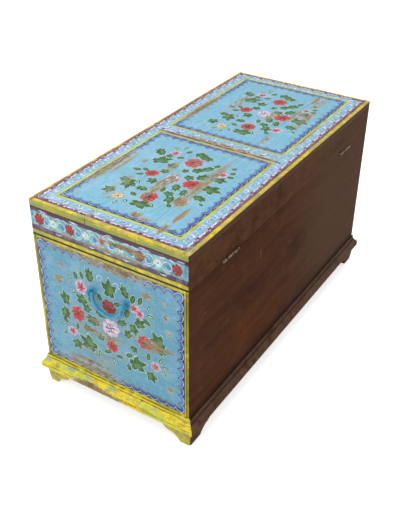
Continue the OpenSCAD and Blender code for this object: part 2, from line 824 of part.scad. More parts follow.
top_board(-half_d, top_front_width, -1);  // lid_top_front_board
top_middle_board();  // lid_top_middle_board
top_board(half_d - top_back_width, top_back_width, 1);  // lid_top_back_board
lid_batten(-1);  // lid_batten_left
lid_batten(1);  // lid_batten_right
hinge_leaf(-1, 1);  // left_hinge_lid_leaf
hinge_leaf(1, 1);  // right_hinge_lid_leaf
hinge_screws(1);  // hinge_lid_screws
color(IRON) lid_nails();
hasp_plate();
hasp_plate_nails();
hasp_pin();
hasp_strap();
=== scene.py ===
import json
import math
import random

import bmesh
import bpy
from mathutils import Matrix, Vector


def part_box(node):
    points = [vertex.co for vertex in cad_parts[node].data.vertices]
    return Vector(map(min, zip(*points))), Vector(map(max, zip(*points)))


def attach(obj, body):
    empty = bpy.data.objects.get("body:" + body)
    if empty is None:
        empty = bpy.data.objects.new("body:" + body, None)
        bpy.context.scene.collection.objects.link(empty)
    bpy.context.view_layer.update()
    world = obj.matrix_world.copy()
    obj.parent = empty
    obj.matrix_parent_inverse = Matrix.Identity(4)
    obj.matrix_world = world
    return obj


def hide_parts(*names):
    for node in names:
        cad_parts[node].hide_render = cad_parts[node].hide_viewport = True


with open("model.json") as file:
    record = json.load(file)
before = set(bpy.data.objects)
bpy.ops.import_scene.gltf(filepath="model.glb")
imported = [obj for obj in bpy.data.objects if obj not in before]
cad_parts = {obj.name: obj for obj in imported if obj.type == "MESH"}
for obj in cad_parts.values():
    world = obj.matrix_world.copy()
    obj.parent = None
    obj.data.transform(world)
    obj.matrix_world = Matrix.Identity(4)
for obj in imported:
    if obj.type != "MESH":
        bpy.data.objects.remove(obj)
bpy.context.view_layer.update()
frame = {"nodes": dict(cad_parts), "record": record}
bpy.ops.object.select_all(action="DESELECT")


def lowest(node):
    return Vector(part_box(node)[0])


def highest(node):
    return Vector(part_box(node)[1])


MM = 1000  # millimetres in a metre

# Sizes of the chest, in metres
HALF_L, HALF_D, LID_Z = highest("lid_top_back_board")
RAIL_TOP_Z = highest("lid_right_rail").z
RAIL_Z = lowest("lid_right_rail").z
SEAM_Z = highest("right_end_upper_board").z
JOINT_Z = highest("right_end_lower_board").z
PLINTH_TOP_Z = highest("plinth_right_moulding").z
FOOT_Z = lowest("plinth_right_moulding").z
END_HALF_D = highest("right_end_upper_board").y
TOP_JOINT_Y = highest("lid_top_front_board").y
FRONT_MIDDLE_Z = (PLINTH_TOP_Z + SEAM_Z) / 2
FRONT_HALF = (SEAM_Z - PLINTH_TOP_Z) / 2

# Paint colours, in percent of red, green and blue
LIGHT_BLUE = (45.5, 69, 80)
END_BLUE = (34.5, 59, 70)
TURQUOISE = (48, 68, 75)
RAIL_TEAL = (40, 60, 64)
DEEP_BLUE = (13, 21.5, 50)
MID_BLUE = (29, 44, 70)
NAVY = (8.5, 14, 23)
YELLOW = (87, 77.5, 12)
DULL_YELLOW = (69, 65, 17)
OLIVE = (53, 56, 22)
LIME = (70, 77.5, 36)
PURPLE = (30, 13.5, 23)
WINE = (44, 19, 29)
TAN_WOOD = (57, 47.5, 31)
BROWN_WOOD = (37, 28, 17)
OCHRE_WOOD = (60, 46.5, 23.5)
PRIMER = (64, 64, 56)
# Grime in the boards' joints; on the front it also serves as painted shade just under the lid
GRIME_AND_SHADE = (8.5, 6, 4)
# Painted shade: a near black laid along the seam between lid and body
SEAM_SHADE = (4, 2.6, 1.4)


# ---------- nodes ----------

def linear(colour):
    """A display colour in percent as the linear colour that a shader takes."""
    shares = (c / 100 for c in colour)
    return tuple(c / 12.92 if c <= 0.04045 else ((c + 0.055) / 1.055) ** 2.4 for c in shares) + (1,)


def math_method(operation, swapped=False):
    """A method of a Value that adds a math node."""
    def method(self, other=0):
        return self.n.math(operation, *((other, self) if swapped else (self, other)))
    return method


class Value:
    """A node's output, which adds and multiplies as a number does."""

    def __init__(self, n, socket):
        self.n = n
        self.socket = socket

    __add__, __radd__ = math_method("ADD"), math_method("ADD", True)
    __sub__, __rsub__ = math_method("SUBTRACT"), math_method("SUBTRACT", True)
    __mul__, __abs__ = math_method("MULTIPLY"), math_method("ABSOLUTE")

    def ramp(self, low, high):
        """0 below low, 1 above high, smooth between."""
        return self.n.add("ShaderNodeMapRange", {"Value": self, "From Min": low, "From Max": high},
                          interpolation_type="SMOOTHSTEP")

    def over(self, edge, soft=0.0004):
        """1 where the value is over the edge."""
        return self.ramp(edge - soft, edge + soft)

    def line(self, middle, half_width, soft=0.0004):
        """1 on a line where the value is near the middle."""
        return 1 - abs(self - middle).over(half_width, soft)


class Nodes:
    """Adds nodes to a tree. An input is a number, a vector, a colour or a Value."""

    def __init__(self, tree):
        self.tree = tree
        self.coordinates = None

    def outputs(self, kind, inputs, **settings):
        """Adds a node and gives its output sockets."""
        node = self.tree.nodes.new(kind)
        for name, value in settings.items():
            setattr(node, name, value)
        for key, value in inputs.items():
            if isinstance(value, Value):
                self.tree.links.new(value.socket, node.inputs[key])
            else:
                node.inputs[key].default_value = value
        return node.outputs

    def add(self, kind, inputs, output=0, **settings):
        """Adds a node and gives one of its outputs."""
        return Value(self, self.outputs(kind, inputs, **settings)[output])

    def math(self, operation, a, b=0, clamp=False):
        return self.add("ShaderNodeMath", {0: a, 1: b}, operation=operation, use_clamp=clamp)

    def least(self, a, b):
        return self.math("MINIMUM", a, b)

    def most(self, a, b):
        return self.math("MAXIMUM", a, b)

    def vector(self, operation, a, b=(0, 0, 0)):
        output = "Value" if operation == "LENGTH" else "Vector"
        return self.add("ShaderNodeVectorMath", {0: a, 1: b}, output, operation=operation)

    def blend(self, mask, a, b):
        """The number a where the mask is 0 and b where it is 1."""
        return self.add("ShaderNodeMix", {0: mask, 2: a, 3: b})

    def mix(self, mask, a, b):
        """The colour a where the mask is 0 and b where it is 1."""
        a, b = (linear(c) if isinstance(c, tuple) else c for c in (a, b))
        return self.add("ShaderNodeMix", {0: mask, 6: a, 7: b}, 2, data_type="RGBA")

    def coats(self, colour, *layers):
        """Lays colours over a first one. Each layer is its mask and its colour."""
        for mask, paint in layers:
            colour = self.mix(mask, colour, paint)
        return colour

    def noise(self, scale, detail=3, roughness=0.55, stretch=None, distortion=0, at=None):
        at = at or self.place()
        if stretch:
            at = self.vector("MULTIPLY", at, stretch)
        return self.add("ShaderNodeTexNoise", {"Vector": at, "Scale": scale, "Detail": detail,
                                               "Roughness": roughness, "Distortion": distortion})

    def place(self):
        """Object coordinates."""
        if self.coordinates is None:
            self.coordinates = self.add("ShaderNodeTexCoord", {}, "Object")
        return self.coordinates

    def axes(self):
        return [Value(self, socket) for socket in self.outputs("ShaderNodeSeparateXYZ", {0: self.place()})]

    def ray(self, kind):
        """1 for rays of a kind."""
        return self.add("ShaderNodeLightPath", {}, f"Is {kind} Ray")

    def use(self, tree):
        """Places a node group and gives its colour, wear and height."""
        return [Value(self, socket) for socket in self.outputs("ShaderNodeGroup", {}, node_tree=tree)]


def group(name, build):
    """A node group that gives a colour, a wear and a height from object coordinates."""
    tree = bpy.data.node_groups.new(name, "ShaderNodeTree")
    for label, kind in (("Colour", "NodeSocketColor"), ("Wear", "NodeSocketFloat"), ("Height", "NodeSocketFloat")):
        tree.interface.new_socket(label, in_out="OUTPUT", socket_type=kind)
    n = Nodes(tree)
    n.outputs("NodeGroupOutput", dict(enumerate(build(n))))
    return tree


# ---------- worn paint ----------

END_GRAIN = (30, 6, 62)
TOP_GRAIN = (6, 62, 30)
FRONT_GRAIN = (6, 30, 62)
SPOT_REACH = 0.5  # how far a spot reaches through its face


def spots_at(axis, level, rows):
    """Spots on a face. A row is a spot's middle and two radii in millimetres and its strength in percent."""
    spots = []
    for *sizes, strength in rows:
        sizes = [size / MM for size in sizes]
        centre, radii = sizes[:2], sizes[2:]
        centre.insert(axis, level)
        radii.insert(axis, SPOT_REACH)
        spots.append((centre, radii, strength / 100))
    return spots


def patches(n, spots, at=None):
    """1 at the middle of each spot, falling to 0 at its rim."""
    total = None
    for centre, radii, strength in spots:
        off = n.vector("MULTIPLY", n.vector("SUBTRACT", at or n.place(), centre), tuple(1 / r for r in radii))
        spot = (1 - n.vector("LENGTH", off)).ramp(0, 0.7) * strength
        total = spot if total is None else n.most(total, spot)
    return total


def worn(n, colour, grain, spots, at=None):
    """Wears a paint along the grain: first to pale primer, then to bare wood. Gives colour, wear and height."""
    level = (n.noise(2.2, 5, 0.62, grain) * 0.24 + n.noise(110, 3, 0.6, tuple(0.4 + g / 60 for g in grain)) * 0.46
             + n.noise(420, 2, 0.6) * 0.3)
    softly = 0
    if spots:
        marks = patches(n, spots, at)
        level += marks * 0.185
        softly = marks.ramp(0.06, 0.9) * 0.58
    wear = level.ramp(0.604, 0.672)
    coarse = n.noise(1.4, 4, 0.62, grain)
    wood = n.coats(
        BROWN_WOOD,
        (coarse.ramp(0.4, 0.6), TAN_WOOD),
        (n.noise(48, 4, 0.65).ramp(0.47, 0.58) * 0.55, OCHRE_WOOD),
        (n.noise(260, 3, 0.6).ramp(0.5, 0.62) * 0.5, PRIMER))
    wood = n.mix(level.ramp(0.62, 0.68), PRIMER, wood)
    dusty = n.most(softly, level.ramp(0.55, 0.61) * 0.4)
    dust = n.mix(coarse.ramp(0.42, 0.6), (67, 68, 59), (53, 48, 34))
    height = n.noise(3, 3, 0.6, grain) * 0.4 + wear * -1
    return n.coats(colour, (dusty, dust), (wear * 0.92, wood)), wear, height


def stained(n, surface, mask, paint):
    """Lays a colour over a surface's own, where its mask is 1: used here for the painted shade along the seam between
    lid and body.
    """
    colour, wear, height = surface
    return n.mix(mask, colour, paint), wear, height


def brushed(n, colour, grain, dirt_and_shade=0.22, light=0.22):
    """Uneven brushed paint: streaks along the grain, faded clouds, cooler and greener touches and a little grime."""
    touches = n.noise(34, 4, 0.6)
    fine = n.noise(190, 4, 0.7)
    return n.coats(
        colour,
        (touches.ramp(0.51, 0.64) * 0.34, (49, 63, 81)),
        ((1 - touches.ramp(0.36, 0.49)) * 0.42, (42, 66, 64)),
        (fine.ramp(0.54, 0.64) * 0.3, (70, 80, 85)),
        ((1 - fine.ramp(0.36, 0.46)) * 0.3, (30, 48, 56)),
        (n.noise(3, 3, 0.6, grain).ramp(0.42, 0.75) * dirt_and_shade, (20, 29, 32)),
        (n.noise(14, 4, 0.62).ramp(0.48, 0.74) * light, (72, 82, 86)))


def wobble(n, size=0.0011):
    """Hand painted lines are never quite straight."""
    return (n.noise(24) - 0.5) * (2 * size)


def yellow_paint(n):
    return n.coats(
        YELLOW,
        (n.noise(42, 4, 0.62).ramp(0.41, 0.58), DULL_YELLOW),
        (n.noise(17, 4, 0.62).ramp(0.5, 0.62) * 0.75, OLIVE),
        (n.noise(150, 3, 0.6).ramp(0.56, 0.66) * 0.55, (52, 37, 14)))


def as_right_end(n, x, y, z):
    """The way across either end, and the place on the right end that matches the place in hand."""
    across = y * n.math("SIGN", x)
    return across, n.add("ShaderNodeCombineXYZ", {0: abs(x), 1: across, 2: z})


def box_sides(n, u, v, panel):
    """How far inside a panel's side edges, and inside its upper and lower edges, a place lies."""
    left, right, low, high = panel
    return n.least(u - left, right - u), n.least(v - low, high - v)


def box_inset(n, u, v, panel):
    """How far inside a panel's four edges a place lies."""
    return n.least(*box_sides(n, u, v, panel))


SCALLOP_PITCH = 0.03
SCALLOP_RISE = 0.0085
SCALLOP_INSET = 0.0035


def scallops_along(value, start, end):
    """1 at the crown of each scallop along a side and 0 at the cusps between them."""
    count = round((end - start) / SCALLOP_PITCH)
    return abs(value.n.math("SINE", (value - start) * (math.pi * count / (end - start))))


def border(n, u, v, panel, field):
    """A panel's border: a navy line, a deep blue wash with a scalloped edge, and a paler wash into the field."""
    across, up = box_sides(n, u, v, panel)
    crown = n.blend((up - across).over(0), scallops_along(u, *panel[:2]), scallops_along(v, *panel[2:]))
    blotch = n.noise(60)
    inset = n.least(across, up) + (blotch - 0.5) * 0.006
    reach = inset + crown * SCALLOP_RISE
    edge = SCALLOP_INSET + SCALLOP_RISE
    wash = n.mix(n.noise(26, 4).ramp(0.42, 0.62), MID_BLUE, DEEP_BLUE)
    washed = n.mix(reach.ramp(edge + 0.002, edge + 0.014), wash, field)
    dark = n.mix(blotch.ramp(0.4, 0.62), DEEP_BLUE, NAVY)
    return n.coats(NAVY, (inset.over(0.003, 0.001), n.mix(reach.over(edge, 0.001), dark, washed)))


END_FIELD = (-0.2365, 0.233, 0.1066, 0.509)
END_SPOTS = spots_at(0, 0.55, [
    (15, 500, 210, 22, 80), (30, 497, 100, 22, 100), (-150, 503, 80, 12, 80), (-174, 399, 26, 20, 100),
    (-160, 447, 30, 10, 75), (165, 302, 62, 10, 125), (135, 298, 60, 34, 90), (-50, 300, 60, 18, 75),
    (60, 303, 40, 14, 75), (-45, 262, 130, 18, 90), (-85, 144, 110, 14, 100), (-80, 122, 170, 18, 95),
    (-30, 168, 50, 18, 70), (-70, 188, 120, 34, 42), (141, 230, 30, 24, 60), (120, 455, 24, 20, 75),
    (172, 455, 14, 16, 75), (180, 410, 18, 16, 80), (186, 366, 22, 16, 80), (187, 170, 20, 22, 80),
    (0, 300, 240, 200, 22)])


def end_paint(n):
    """The body's painted ends: a yellow edge, a deep blue border and a blue field."""
    x, y, z = n.axes()
    across, turned = as_right_end(n, x, y, z)
    on_field = (box_inset(n, across, z, END_FIELD) + wobble(n)).over(0)
    low = (1 - z.ramp(END_FIELD[2] + 0.01, END_FIELD[2] + 0.026)) * on_field
    patchy = n.most(n.noise(22, 4).ramp(0.4, 0.58), across.ramp(-0.02, 0.06))
    colour = n.coats(
        yellow_paint(n),
        (on_field, border(n, across, z, END_FIELD, brushed(n, END_BLUE, END_GRAIN))),
        (low * patchy * 0.82, (15, 22, 40)),
        (abs(y).over(END_HALF_D - 0.004) * n.noise(12).ramp(0.3, 0.46) * 0.6, (45, 44, 15)),
        (abs(y).line(END_HALF_D, 0.001, 0.0006) * 0.85, GRIME_AND_SHADE),
        ((abs(y) + wobble(n, 0.002)).over(HALF_D - 0.0016, 0.0008) * 0.8, BROWN_WOOD),
        (z.line(JOINT_Z, 0.0008, 0.0005) * n.noise(9).ramp(0.45, 0.6) * 0.6, BROWN_WOOD))
    # Painted shade: the top few millimetres of the end boards darkened to near black along the seam under the lid
    dirt_and_shade = (z + wobble(n, 0.001)).ramp(SEAM_Z - 0.0036, SEAM_Z - 0.0024)
    return stained(n, worn(n, colour, END_GRAIN, END_SPOTS, turned), dirt_and_shade * 0.98, SEAM_SHADE)


PANEL_LINE = 0.0085
YELLOW_RIM = 0.01
PURPLE_RIM = 0.0195


def inside_line(panel):
    """A panel within its own line."""
    left, right, low, high = panel
    return left + PANEL_LINE, right - PANEL_LINE, low + PANEL_LINE, high - PANEL_LINE


def framed_panels(n, u, v, half_v, panels, field_colour, grain):
    """Two panels in a turquoise frame with a purple line and a yellow edge. u runs along the chest, v across it."""
    drift = wobble(n)
    rim = n.least(HALF_L - abs(u), half_v - abs(v)) + drift
    field = brushed(n, field_colour, grain)
    yellow = n.mix(n.noise(24).ramp(0.46, 0.6) * 0.55, yellow_paint(n), (72, 62, 38))
    lime = n.coats(LIME, (n.noise(22).ramp(0.48, 0.62), DULL_YELLOW),
                   ((1 - abs(u).ramp(0.03, 0.05)) * 0.55, (66, 60, 38)))
    colour = n.coats(
        brushed(n, TURQUOISE, grain, 0.2, 0.3),
        (n.noise(52).ramp(0.5, 0.62) * 0.6, (64, 69, 86)),
        (n.noise(75).ramp(0.56, 0.66) * 0.5, (36, 52, 60)),
        ((1 - rim.ramp(0.022, 0.032)) * 0.9 * n.noise(58).ramp(0.4, 0.54), (56, 45, 64)))
    for panel in panels:
        inset = box_inset(n, u, v, panel) + drift
        colour = n.coats(colour, (inset.over(0), lime),
                         (inset.over(PANEL_LINE), border(n, u, v, inside_line(panel), field)))
    purple = n.mix(n.noise(55, 4).ramp(0.42, 0.6), PURPLE, WINE)
    dull = n.mix(n.noise(30).ramp(0.46, 0.58), purple, (56, 47, 24))
    colour = n.mix((u + drift).line(panels[0][0] - 0.0055, 0.0048) * rim.over(0.04), colour, dull)
    return n.coats(yellow, (rim.over(YELLOW_RIM, 0.0006), n.mix(rim.over(PURPLE_RIM, 0.002), purple, colour)))


TOP_PANELS = [(0.023, 0.5025, -0.2, 0.1965), (-0.508, -0.024, -0.2, 0.1965)]
TOP_SPOTS = spots_at(2, 0.62, [
    (410, 133, 60, 12, 135), (485, 131, 36, 14, 105), (235, 93, 215, 26, 92), (350, 94, 42, 30, 130),
    (150, 4, 40, 40, 55), (310, -2, 120, 24, 92), (262, 4, 50, 30, 95), (467, 36, 20, 26, 120), (476, 66, 14, 30, 85),
    (285, -178, 190, 15, 110), (250, -160, 110, 12, 80), (212, -120, 24, 12, 110), (205, -35, 70, 26, 70),
    (330, -95, 50, 24, 70), (400, -98, 50, 24, 60), (-290, 136, 120, 18, 90), (-200, -188, 150, 18, 130),
    (-310, 100, 80, 28, 80), (-452, 98, 56, 14, 110), (-430, 120, 80, 24, 70), (-160, -187, 120, 10, 110),
    (-300, -110, 140, 26, 65), (-260, 30, 80, 22, 70), (-90, 100, 60, 14, 75), (-175, 197, 110, 7, 100),
    (6, 0, 12, 240, 90), (535, -62, 14, 12, 110), (530, 236, 26, 20, 80)])


def top_paint(n):
    """The lid's top."""
    x, y, z = n.axes()
    colour = framed_panels(n, x, y + y.over(0) * 0.0012, HALF_D, TOP_PANELS, LIGHT_BLUE, TOP_GRAIN)
    for level, start, tint in ((HALF_D - 0.016, 0.4, (48, 33, 30)), (0.009 - HALF_D, 0.32, (40, 25, 23))):
        rim_line = y.line(level, 0.004, 0.002) * n.noise(26).ramp(start, start + 0.16)
        colour = n.mix(rim_line * 0.8, colour, tint)
    for panel in TOP_PANELS:
        deep = (box_inset(n, x, y, panel) - PANEL_LINE).line(0.0065, 0.0045, 0.0035) * n.noise(30).ramp(0.34, 0.52)
        colour = n.mix(deep * 0.7, colour, (15, 21, 47))
    joint = y.line(TOP_JOINT_Y, 0.0006) * abs(x).ramp(0.44, 0.545)
    return worn(n, n.mix(joint * 0.8, colour, GRIME_AND_SHADE), TOP_GRAIN, TOP_SPOTS)


# Heights of the lid rails' painted bands
RAIL_FOOT_Z = 0.5335
RAIL_BAND_Z = 0.549
RAIL_MIDDLE_Z = 0.5705
RAIL_BAND_TOP_Z = 0.5915
RAIL_BROWN_Z = 0.6
RAIL_SPOTS = spots_at(0, 0.55, [
    (50, 576, 75, 12, 135), (100, 572, 40, 14, 100), (20, 548, 150, 12, 66), (-12, 573, 30, 20, 90),
    (-130, 550, 40, 10, 62)])


def rail_paint(n):
    """The ends and the front of the lid: a turquoise band between purple lines over a yellow foot."""
    x, y, z = n.axes()
    drifted = z + wobble(n, 0.0016)
    purple = n.coats(
        (31, 13, 22),
        (n.noise(30, 4, 0.62, (1, 0.4, 2)).ramp(0.42, 0.62), (29, 23, 33)),
        (n.noise(70).ramp(0.46, 0.6) * ((1 - z.over(0.56)) * 0.75), (44, 42, 43)))
    band = n.coats(
        brushed(n, RAIL_TEAL, END_GRAIN, 0.26, 0.4),
        (n.noise(62).ramp(0.48, 0.6) * 0.55, (66, 80, 82)),
        (n.noise(44).ramp(0.56, 0.66) * 0.5, (24, 40, 48)))
    colour = n.coats(
        yellow_paint(n),
        (drifted.over(RAIL_FOOT_Z), purple),
        (drifted.over(RAIL_BAND_Z, 0.0022), band),
        (drifted.over(RAIL_BAND_TOP_Z, 0.0022), purple),
        (drifted.over(RAIL_BROWN_Z, 0.0016) * n.noise(20).ramp(0.42, 0.56) * 0.8, (23, 13, 8)))
    # Painted shade: the bottom few millimetres of the lid rails darkened to near black along the seam
    dirt_and_shade = 1 - (z + wobble(n, 0.0008)).ramp(RAIL_Z + 0.0018, RAIL_Z + 0.0028)
    return stained(n, worn(n, colour, END_GRAIN, RAIL_SPOTS, as_right_end(n, x, y, z)[1]), dirt_and_shade * 0.98, SEAM_SHADE)


EDGE_CRACK_Z = 0.6185
EDGE_OLIVE_Z = 0.6135


def top_edge_paint(n):
    """The edges of the lid's top boards: yellow over olive, with a fine crack along them."""
    x, y, z = n.axes()
    drifted = z + wobble(n, 0.0012)
    olive, dull, low = (n.noise(scale, 4, 0.6, (0.4, 0.4, 3)).ramp(start, end)
                        for scale, start, end in ((40, 0.4, 0.56), (30, 0.38, 0.6), (24, 0.38, 0.5)))
    dull_yellow = n.mix(dull * 0.7, yellow_paint(n), OLIVE)
    near_joint = y.line(TOP_JOINT_Y + 0.004, 0.008, 0.006) * n.noise(60).ramp(0.42, 0.56)
    colour = n.coats(
        dull_yellow,
        (low, n.mix(olive, (60, 59, 19), (46, 56, 37))),
        (drifted.over(EDGE_OLIVE_Z, 0.003), dull_yellow),
        (drifted.line(EDGE_CRACK_Z, 0.0005) * n.noise(14).ramp(0.4, 0.52) * 0.75, (25, 21, 6)),
        (y.line(TOP_JOINT_Y, 0.001), GRIME_AND_SHADE),
        (near_joint * 0.7, (40, 44, 26)),
        ((1 - z.ramp(RAIL_TOP_Z + 0.0006, RAIL_TOP_Z + 0.0024)) * 0.75, (22, 13, 6)))
    return worn(n, colour, (16, 16, 60), [])


FRONT_PANELS = [(0.018, 0.504, -0.168, 0.168), (-0.504, -0.018, -0.168, 0.168)]
FRONT_SPOTS = spots_at(1, -0.248, [
    (300, 480, 170, 24, 80), (-250, 496, 190, 20, 85), (0, 430, 40, 70, 80), (-420, 262, 90, 18, 85),
    (180, 240, 120, 16, 85), (-200, 330, 120, 20, 70), (330, 340, 80, 20, 75), (-150, 140, 220, 18, 85),
    (420, 130, 120, 20, 80)])


def front_paint(n):
    """The front: two panels like those of the lid's top."""
    x, y, z = n.axes()
    colour = framed_panels(n, x, z - FRONT_MIDDLE_Z, FRONT_HALF, FRONT_PANELS, END_BLUE, FRONT_GRAIN)
    # Painted shade: the front darkened towards the seam just under the lid
    dirt_and_shade = z.ramp(SEAM_Z - 0.004, SEAM_Z - 0.001)
    return stained(n, worn(n, colour, FRONT_GRAIN, FRONT_SPOTS), dirt_and_shade * 0.85, GRIME_AND_SHADE)


PLINTH_SPOTS = spots_at(0, 0.569, [
    (-60, 61, 125, 13, 175), (-80, 67, 85, 13, 150), (95, 90, 12, 5, 130), (240, 42, 18, 10, 110),
    (-215, 42, 24, 8, 80)])


def plinth_paint(n):
    """Yellow mouldings and feet, with green and turquoise showing through, and painted shade as dark lines along each
    hollow and under the moulding.
    """
    z = n.axes()[2]
    drifted = z + wobble(n, 0.0014)
    in_cove = n.noise(1, 4, 0.6, (22, 22, 60)).ramp(0.53, 0.6) * drifted.line(FOOT_Z + 0.028, 0.006, 0.004)
    # Painted shade: dark lines along the moulding's hollow places and its lower edge
    hollow_shade = [(drifted.line(level, 0.001, 0.0007) * (n.noise(30).ramp(0.34, 0.5) * strength), (33, 26, 5))
               for level, strength in ((PLINTH_TOP_Z - 0.0005, 0.75), (PLINTH_TOP_Z - 0.009, 0.85),
                                       (FOOT_Z + 0.012, 0.65), (FOOT_Z + 0.0002, 0.8))]
    foot = n.mix(n.noise(50, 4, 0.62).ramp(0.42, 0.6), (72, 66, 15), (56, 52, 14))
    colour = n.coats(
        (90.5, 81.5, 13),
        (n.noise(40, 4, 0.62).ramp(0.46, 0.62), (77, 70, 13)),
        (n.noise(1, 5, 0.62, (15, 15, 90)).ramp(0.5, 0.56) * 0.8, (73, 78, 27)),
        (in_cove * 0.75, (50, 66, 56)),
        (n.noise(1, 4, 0.6, (26, 26, 190)).ramp(0.57, 0.64) * 0.7, (60, 44, 9)),
        (n.noise(95, 3, 0.6, (1, 1, 1.6)).ramp(0.655, 0.69) * 0.8, (36, 23, 13)),
        *hollow_shade,
        ((1 - z.ramp(FOOT_Z - 0.01, FOOT_Z - 0.001)) * 0.85, foot),
        # Painted shade: a dark line on the feet just under the moulding
        (drifted.line(FOOT_Z - 0.0026, 0.0022, 0.0014) * 0.75, (24, 18, 6)))
    return worn(n, colour, (20, 20, 62), PLINTH_SPOTS)


# ---------- bare and stained wood ----------

BACK_Y = 0.248
KNOTS = spots_at(1, BACK_Y, [
    (95, 588, 36, 22, 100), (-470, 470, 16, 12, 60), (330, 215, 12, 22, 40)])
DARK_CLOUDS = spots_at(1, BACK_Y, [
    (230, 320, 120, 70, 90), (-50, 330, 90, 55, 100), (420, 280, 110, 40, 50), (-250, 560, 160, 30, 50),
    (-160, 140, 160, 30, 50)])
WARM_CLOUDS = spots_at(1, BACK_Y, [
    (330, 200, 200, 110, 100), (430, 560, 140, 40, 60), (100, 180, 160, 70, 50)])
SCARS = spots_at(1, BACK_Y, [
    (186, 425, 6, 26, 100), (68, 483, 5, 18, 60), (290, 246, 18, 3, 90), (478, 412, 16, 4, 70), (-440, 195, 10, 3, 60)])


def brown_wood(n):
    """Dark reddish brown planks, stained and never painted: warmer at one end and greyer at the other, where the grey
    is painted sheen. Painted shade darkens the seam, the board above the plinth and the moulding's grooves, and a
    painted highlight lightens the moulding and feet.
    """
    x, y, z = n.axes()
    mottle = n.noise(30, 4, 0.65)
    swirl = patches(n, KNOTS) * mottle.ramp(0.34, 0.56)
    drift = n.noise(2, 3, 0.5, (1, 1, 1.8))
    bent = n.vector("ADD", n.place(), n.add("ShaderNodeCombineXYZ", {2: swirl * 0.02 + drift * 0.11}))
    grain = n.noise(1, 6, 0.6, (2.2, 30, 34), 0.4, bent)
    fine = n.noise(3, 4, 0.6, (6, 60, 150), 0, bent)
    body, top = z.over(PLINTH_TOP_Z), z.over(RAIL_TOP_Z)
    seam = z.line(SEAM_Z + 0.0003, 0.0014, 0.0012) * n.noise(7).ramp(0.36, 0.54)
    lid_rail = z.over(SEAM_Z) * x.ramp(-0.35, -0.05) * mottle.ramp(0.34, 0.58)
    colour = n.coats(
        (26.2, 14.6, 9),
        (grain.ramp(0.34, 0.68), (32.2, 19, 12.6)),
        (n.noise(3.6, 4, 0.6).ramp(0.44, 0.66) * 0.3, (34, 20.5, 14)),
        # Painted sheen: greyer and paler towards the far end, which is seen at a grazing angle
        ((1 - x.ramp(-0.3, 0.12)) * 0.62, (36.2, 28, 22.2)),
        (patches(n, WARM_CLOUDS) * drift.ramp(0.36, 0.56) * 0.55, (38.5, 21.5, 8.5)),
        (patches(n, DARK_CLOUDS) * mottle.ramp(0.3, 0.56) * 0.6, (16.5, 11, 7)),
        (fine.ramp(0.52, 0.72) * 0.32, (17, 9.8, 6)),
        (mottle.ramp(0.52, 0.68) * 0.28, (39, 27, 19)),
        (swirl.ramp(0.2, 0.9) * 0.75, (13, 8, 6.5)),
        (patches(n, SCARS).ramp(0.25, 0.8) * 0.55, (47, 32, 24)),
        (n.noise(40, 4, 0.65, (1, 1, 1.6)).ramp(0.655, 0.71) * 0.3, (50, 39, 30)),
        # Painted shade: the back boards darken just above the plinth, where the moulding shades them
        ((1 - z.ramp(PLINTH_TOP_Z + 0.004, PLINTH_TOP_Z + 0.034)) * body * 0.6, (15, 9.2, 5.8)),
        # Painted shade: a dark patchy line along the seam between lid and body
        (seam * x.ramp(-0.08, 0.06) * 0.7, (10, 5.8, 3.6)),
        # Painted highlight: the moulding and feet on the back lighter, as if lit from above
        ((1 - body) * mottle.ramp(0.3, 0.6) * 0.7, (41, 31.5, 26)),
        # Painted shade: dark lines where the moulding meets the board and in its groove lower down
        (z.line(PLINTH_TOP_Z, 0.0018, 0.0012) * 0.75, (11, 7, 5.2)),
        (z.line(PLINTH_TOP_Z - 0.015, 0.0022, 0.0012) * 0.75, (11, 7, 5.2)),
        (top * 0.6, (23.5, 10.5, 5)),
        (n.math("SUBTRACT", lid_rail, top, True) * 0.38, (38.5, 27, 18.5)),
        (z.ramp(LID_Z - 0.005, LID_Z - 0.0015) * n.noise(18).ramp(0.4, 0.56) * 0.7, (43, 31, 11)))
    return colour, 1.3 + mottle * 0.3, grain * 0.6 + fine * 0.5 + swirl * -0.5


def inside_wood(n, crosswise=False):
    """Bare planks inside the chest and under it. The end boards' grain runs across the chest."""
    turn = 1 if crosswise else abs(n.axes()[0]).over(lowest("right_end_upper_board").x - 0.001)
    run = n.add("ShaderNodeMix", {0: turn, 4: n.vector("MULTIPLY", n.place(), (5, 45, 60)),
                                  5: n.vector("MULTIPLY", n.place(), (45, 5, 60))}, 1, data_type="VECTOR")
    grain = n.noise(1, 6, 0.62, None, 0.5, run)
    fine = n.noise(3, 4, 0.6, (2, 2.4, 2.7), 0, run)
    clouds = n.noise(4, 3, 0.6)
    colour = n.coats(
        (40, 29, 19),
        (grain.ramp(0.34, 0.68), (61, 48, 33)),
        (clouds.ramp(0.45, 0.7) * 0.5, (33, 24.5, 17)),
        (fine.ramp(0.55, 0.75) * 0.4, (26, 18, 11)))
    return colour, clouds.ramp(0.3, 0.7), grain * 0.6 + fine * 0.5


grounds = {
    "end": group("end paint", end_paint),
    "top": group("top paint", top_paint),
    "rail": group("lid rail paint", rail_paint),
    "front": group("front paint", front_paint),
    "top_edge": group("lid board edges", top_edge_paint),
    "plinth": group("plinth paint", plinth_paint),
    "brown": group("brown wood", brown_wood),
    "inside": group("inside wood", inside_wood),
    "crosswise": group("crosswise wood", lambda n: inside_wood(n, True)),
}


def start_material(name):
    material = bpy.data.materials.new(name)
    material.use_nodes = True
    material.node_tree.nodes.clear()
    return material, Nodes(material.node_tree)


def finish_surface(n, colour, rough, height, strength=0.25, distance=0.0006, metallic=0, specular=0.35):
    """Ends a material: a principled surface with its bump."""
    bump = n.add("ShaderNodeBump", {"Strength": strength, "Distance": distance, "Height": height})
    shader = n.add("ShaderNodeBsdfPrincipled", {"Base Color": colour, "Roughness": rough, "Metallic": metallic,
                                                "Specular IOR Level": specular, "Normal": bump})
    n.outputs("ShaderNodeOutputMaterial", {0: shader})


SKIN = 0.003
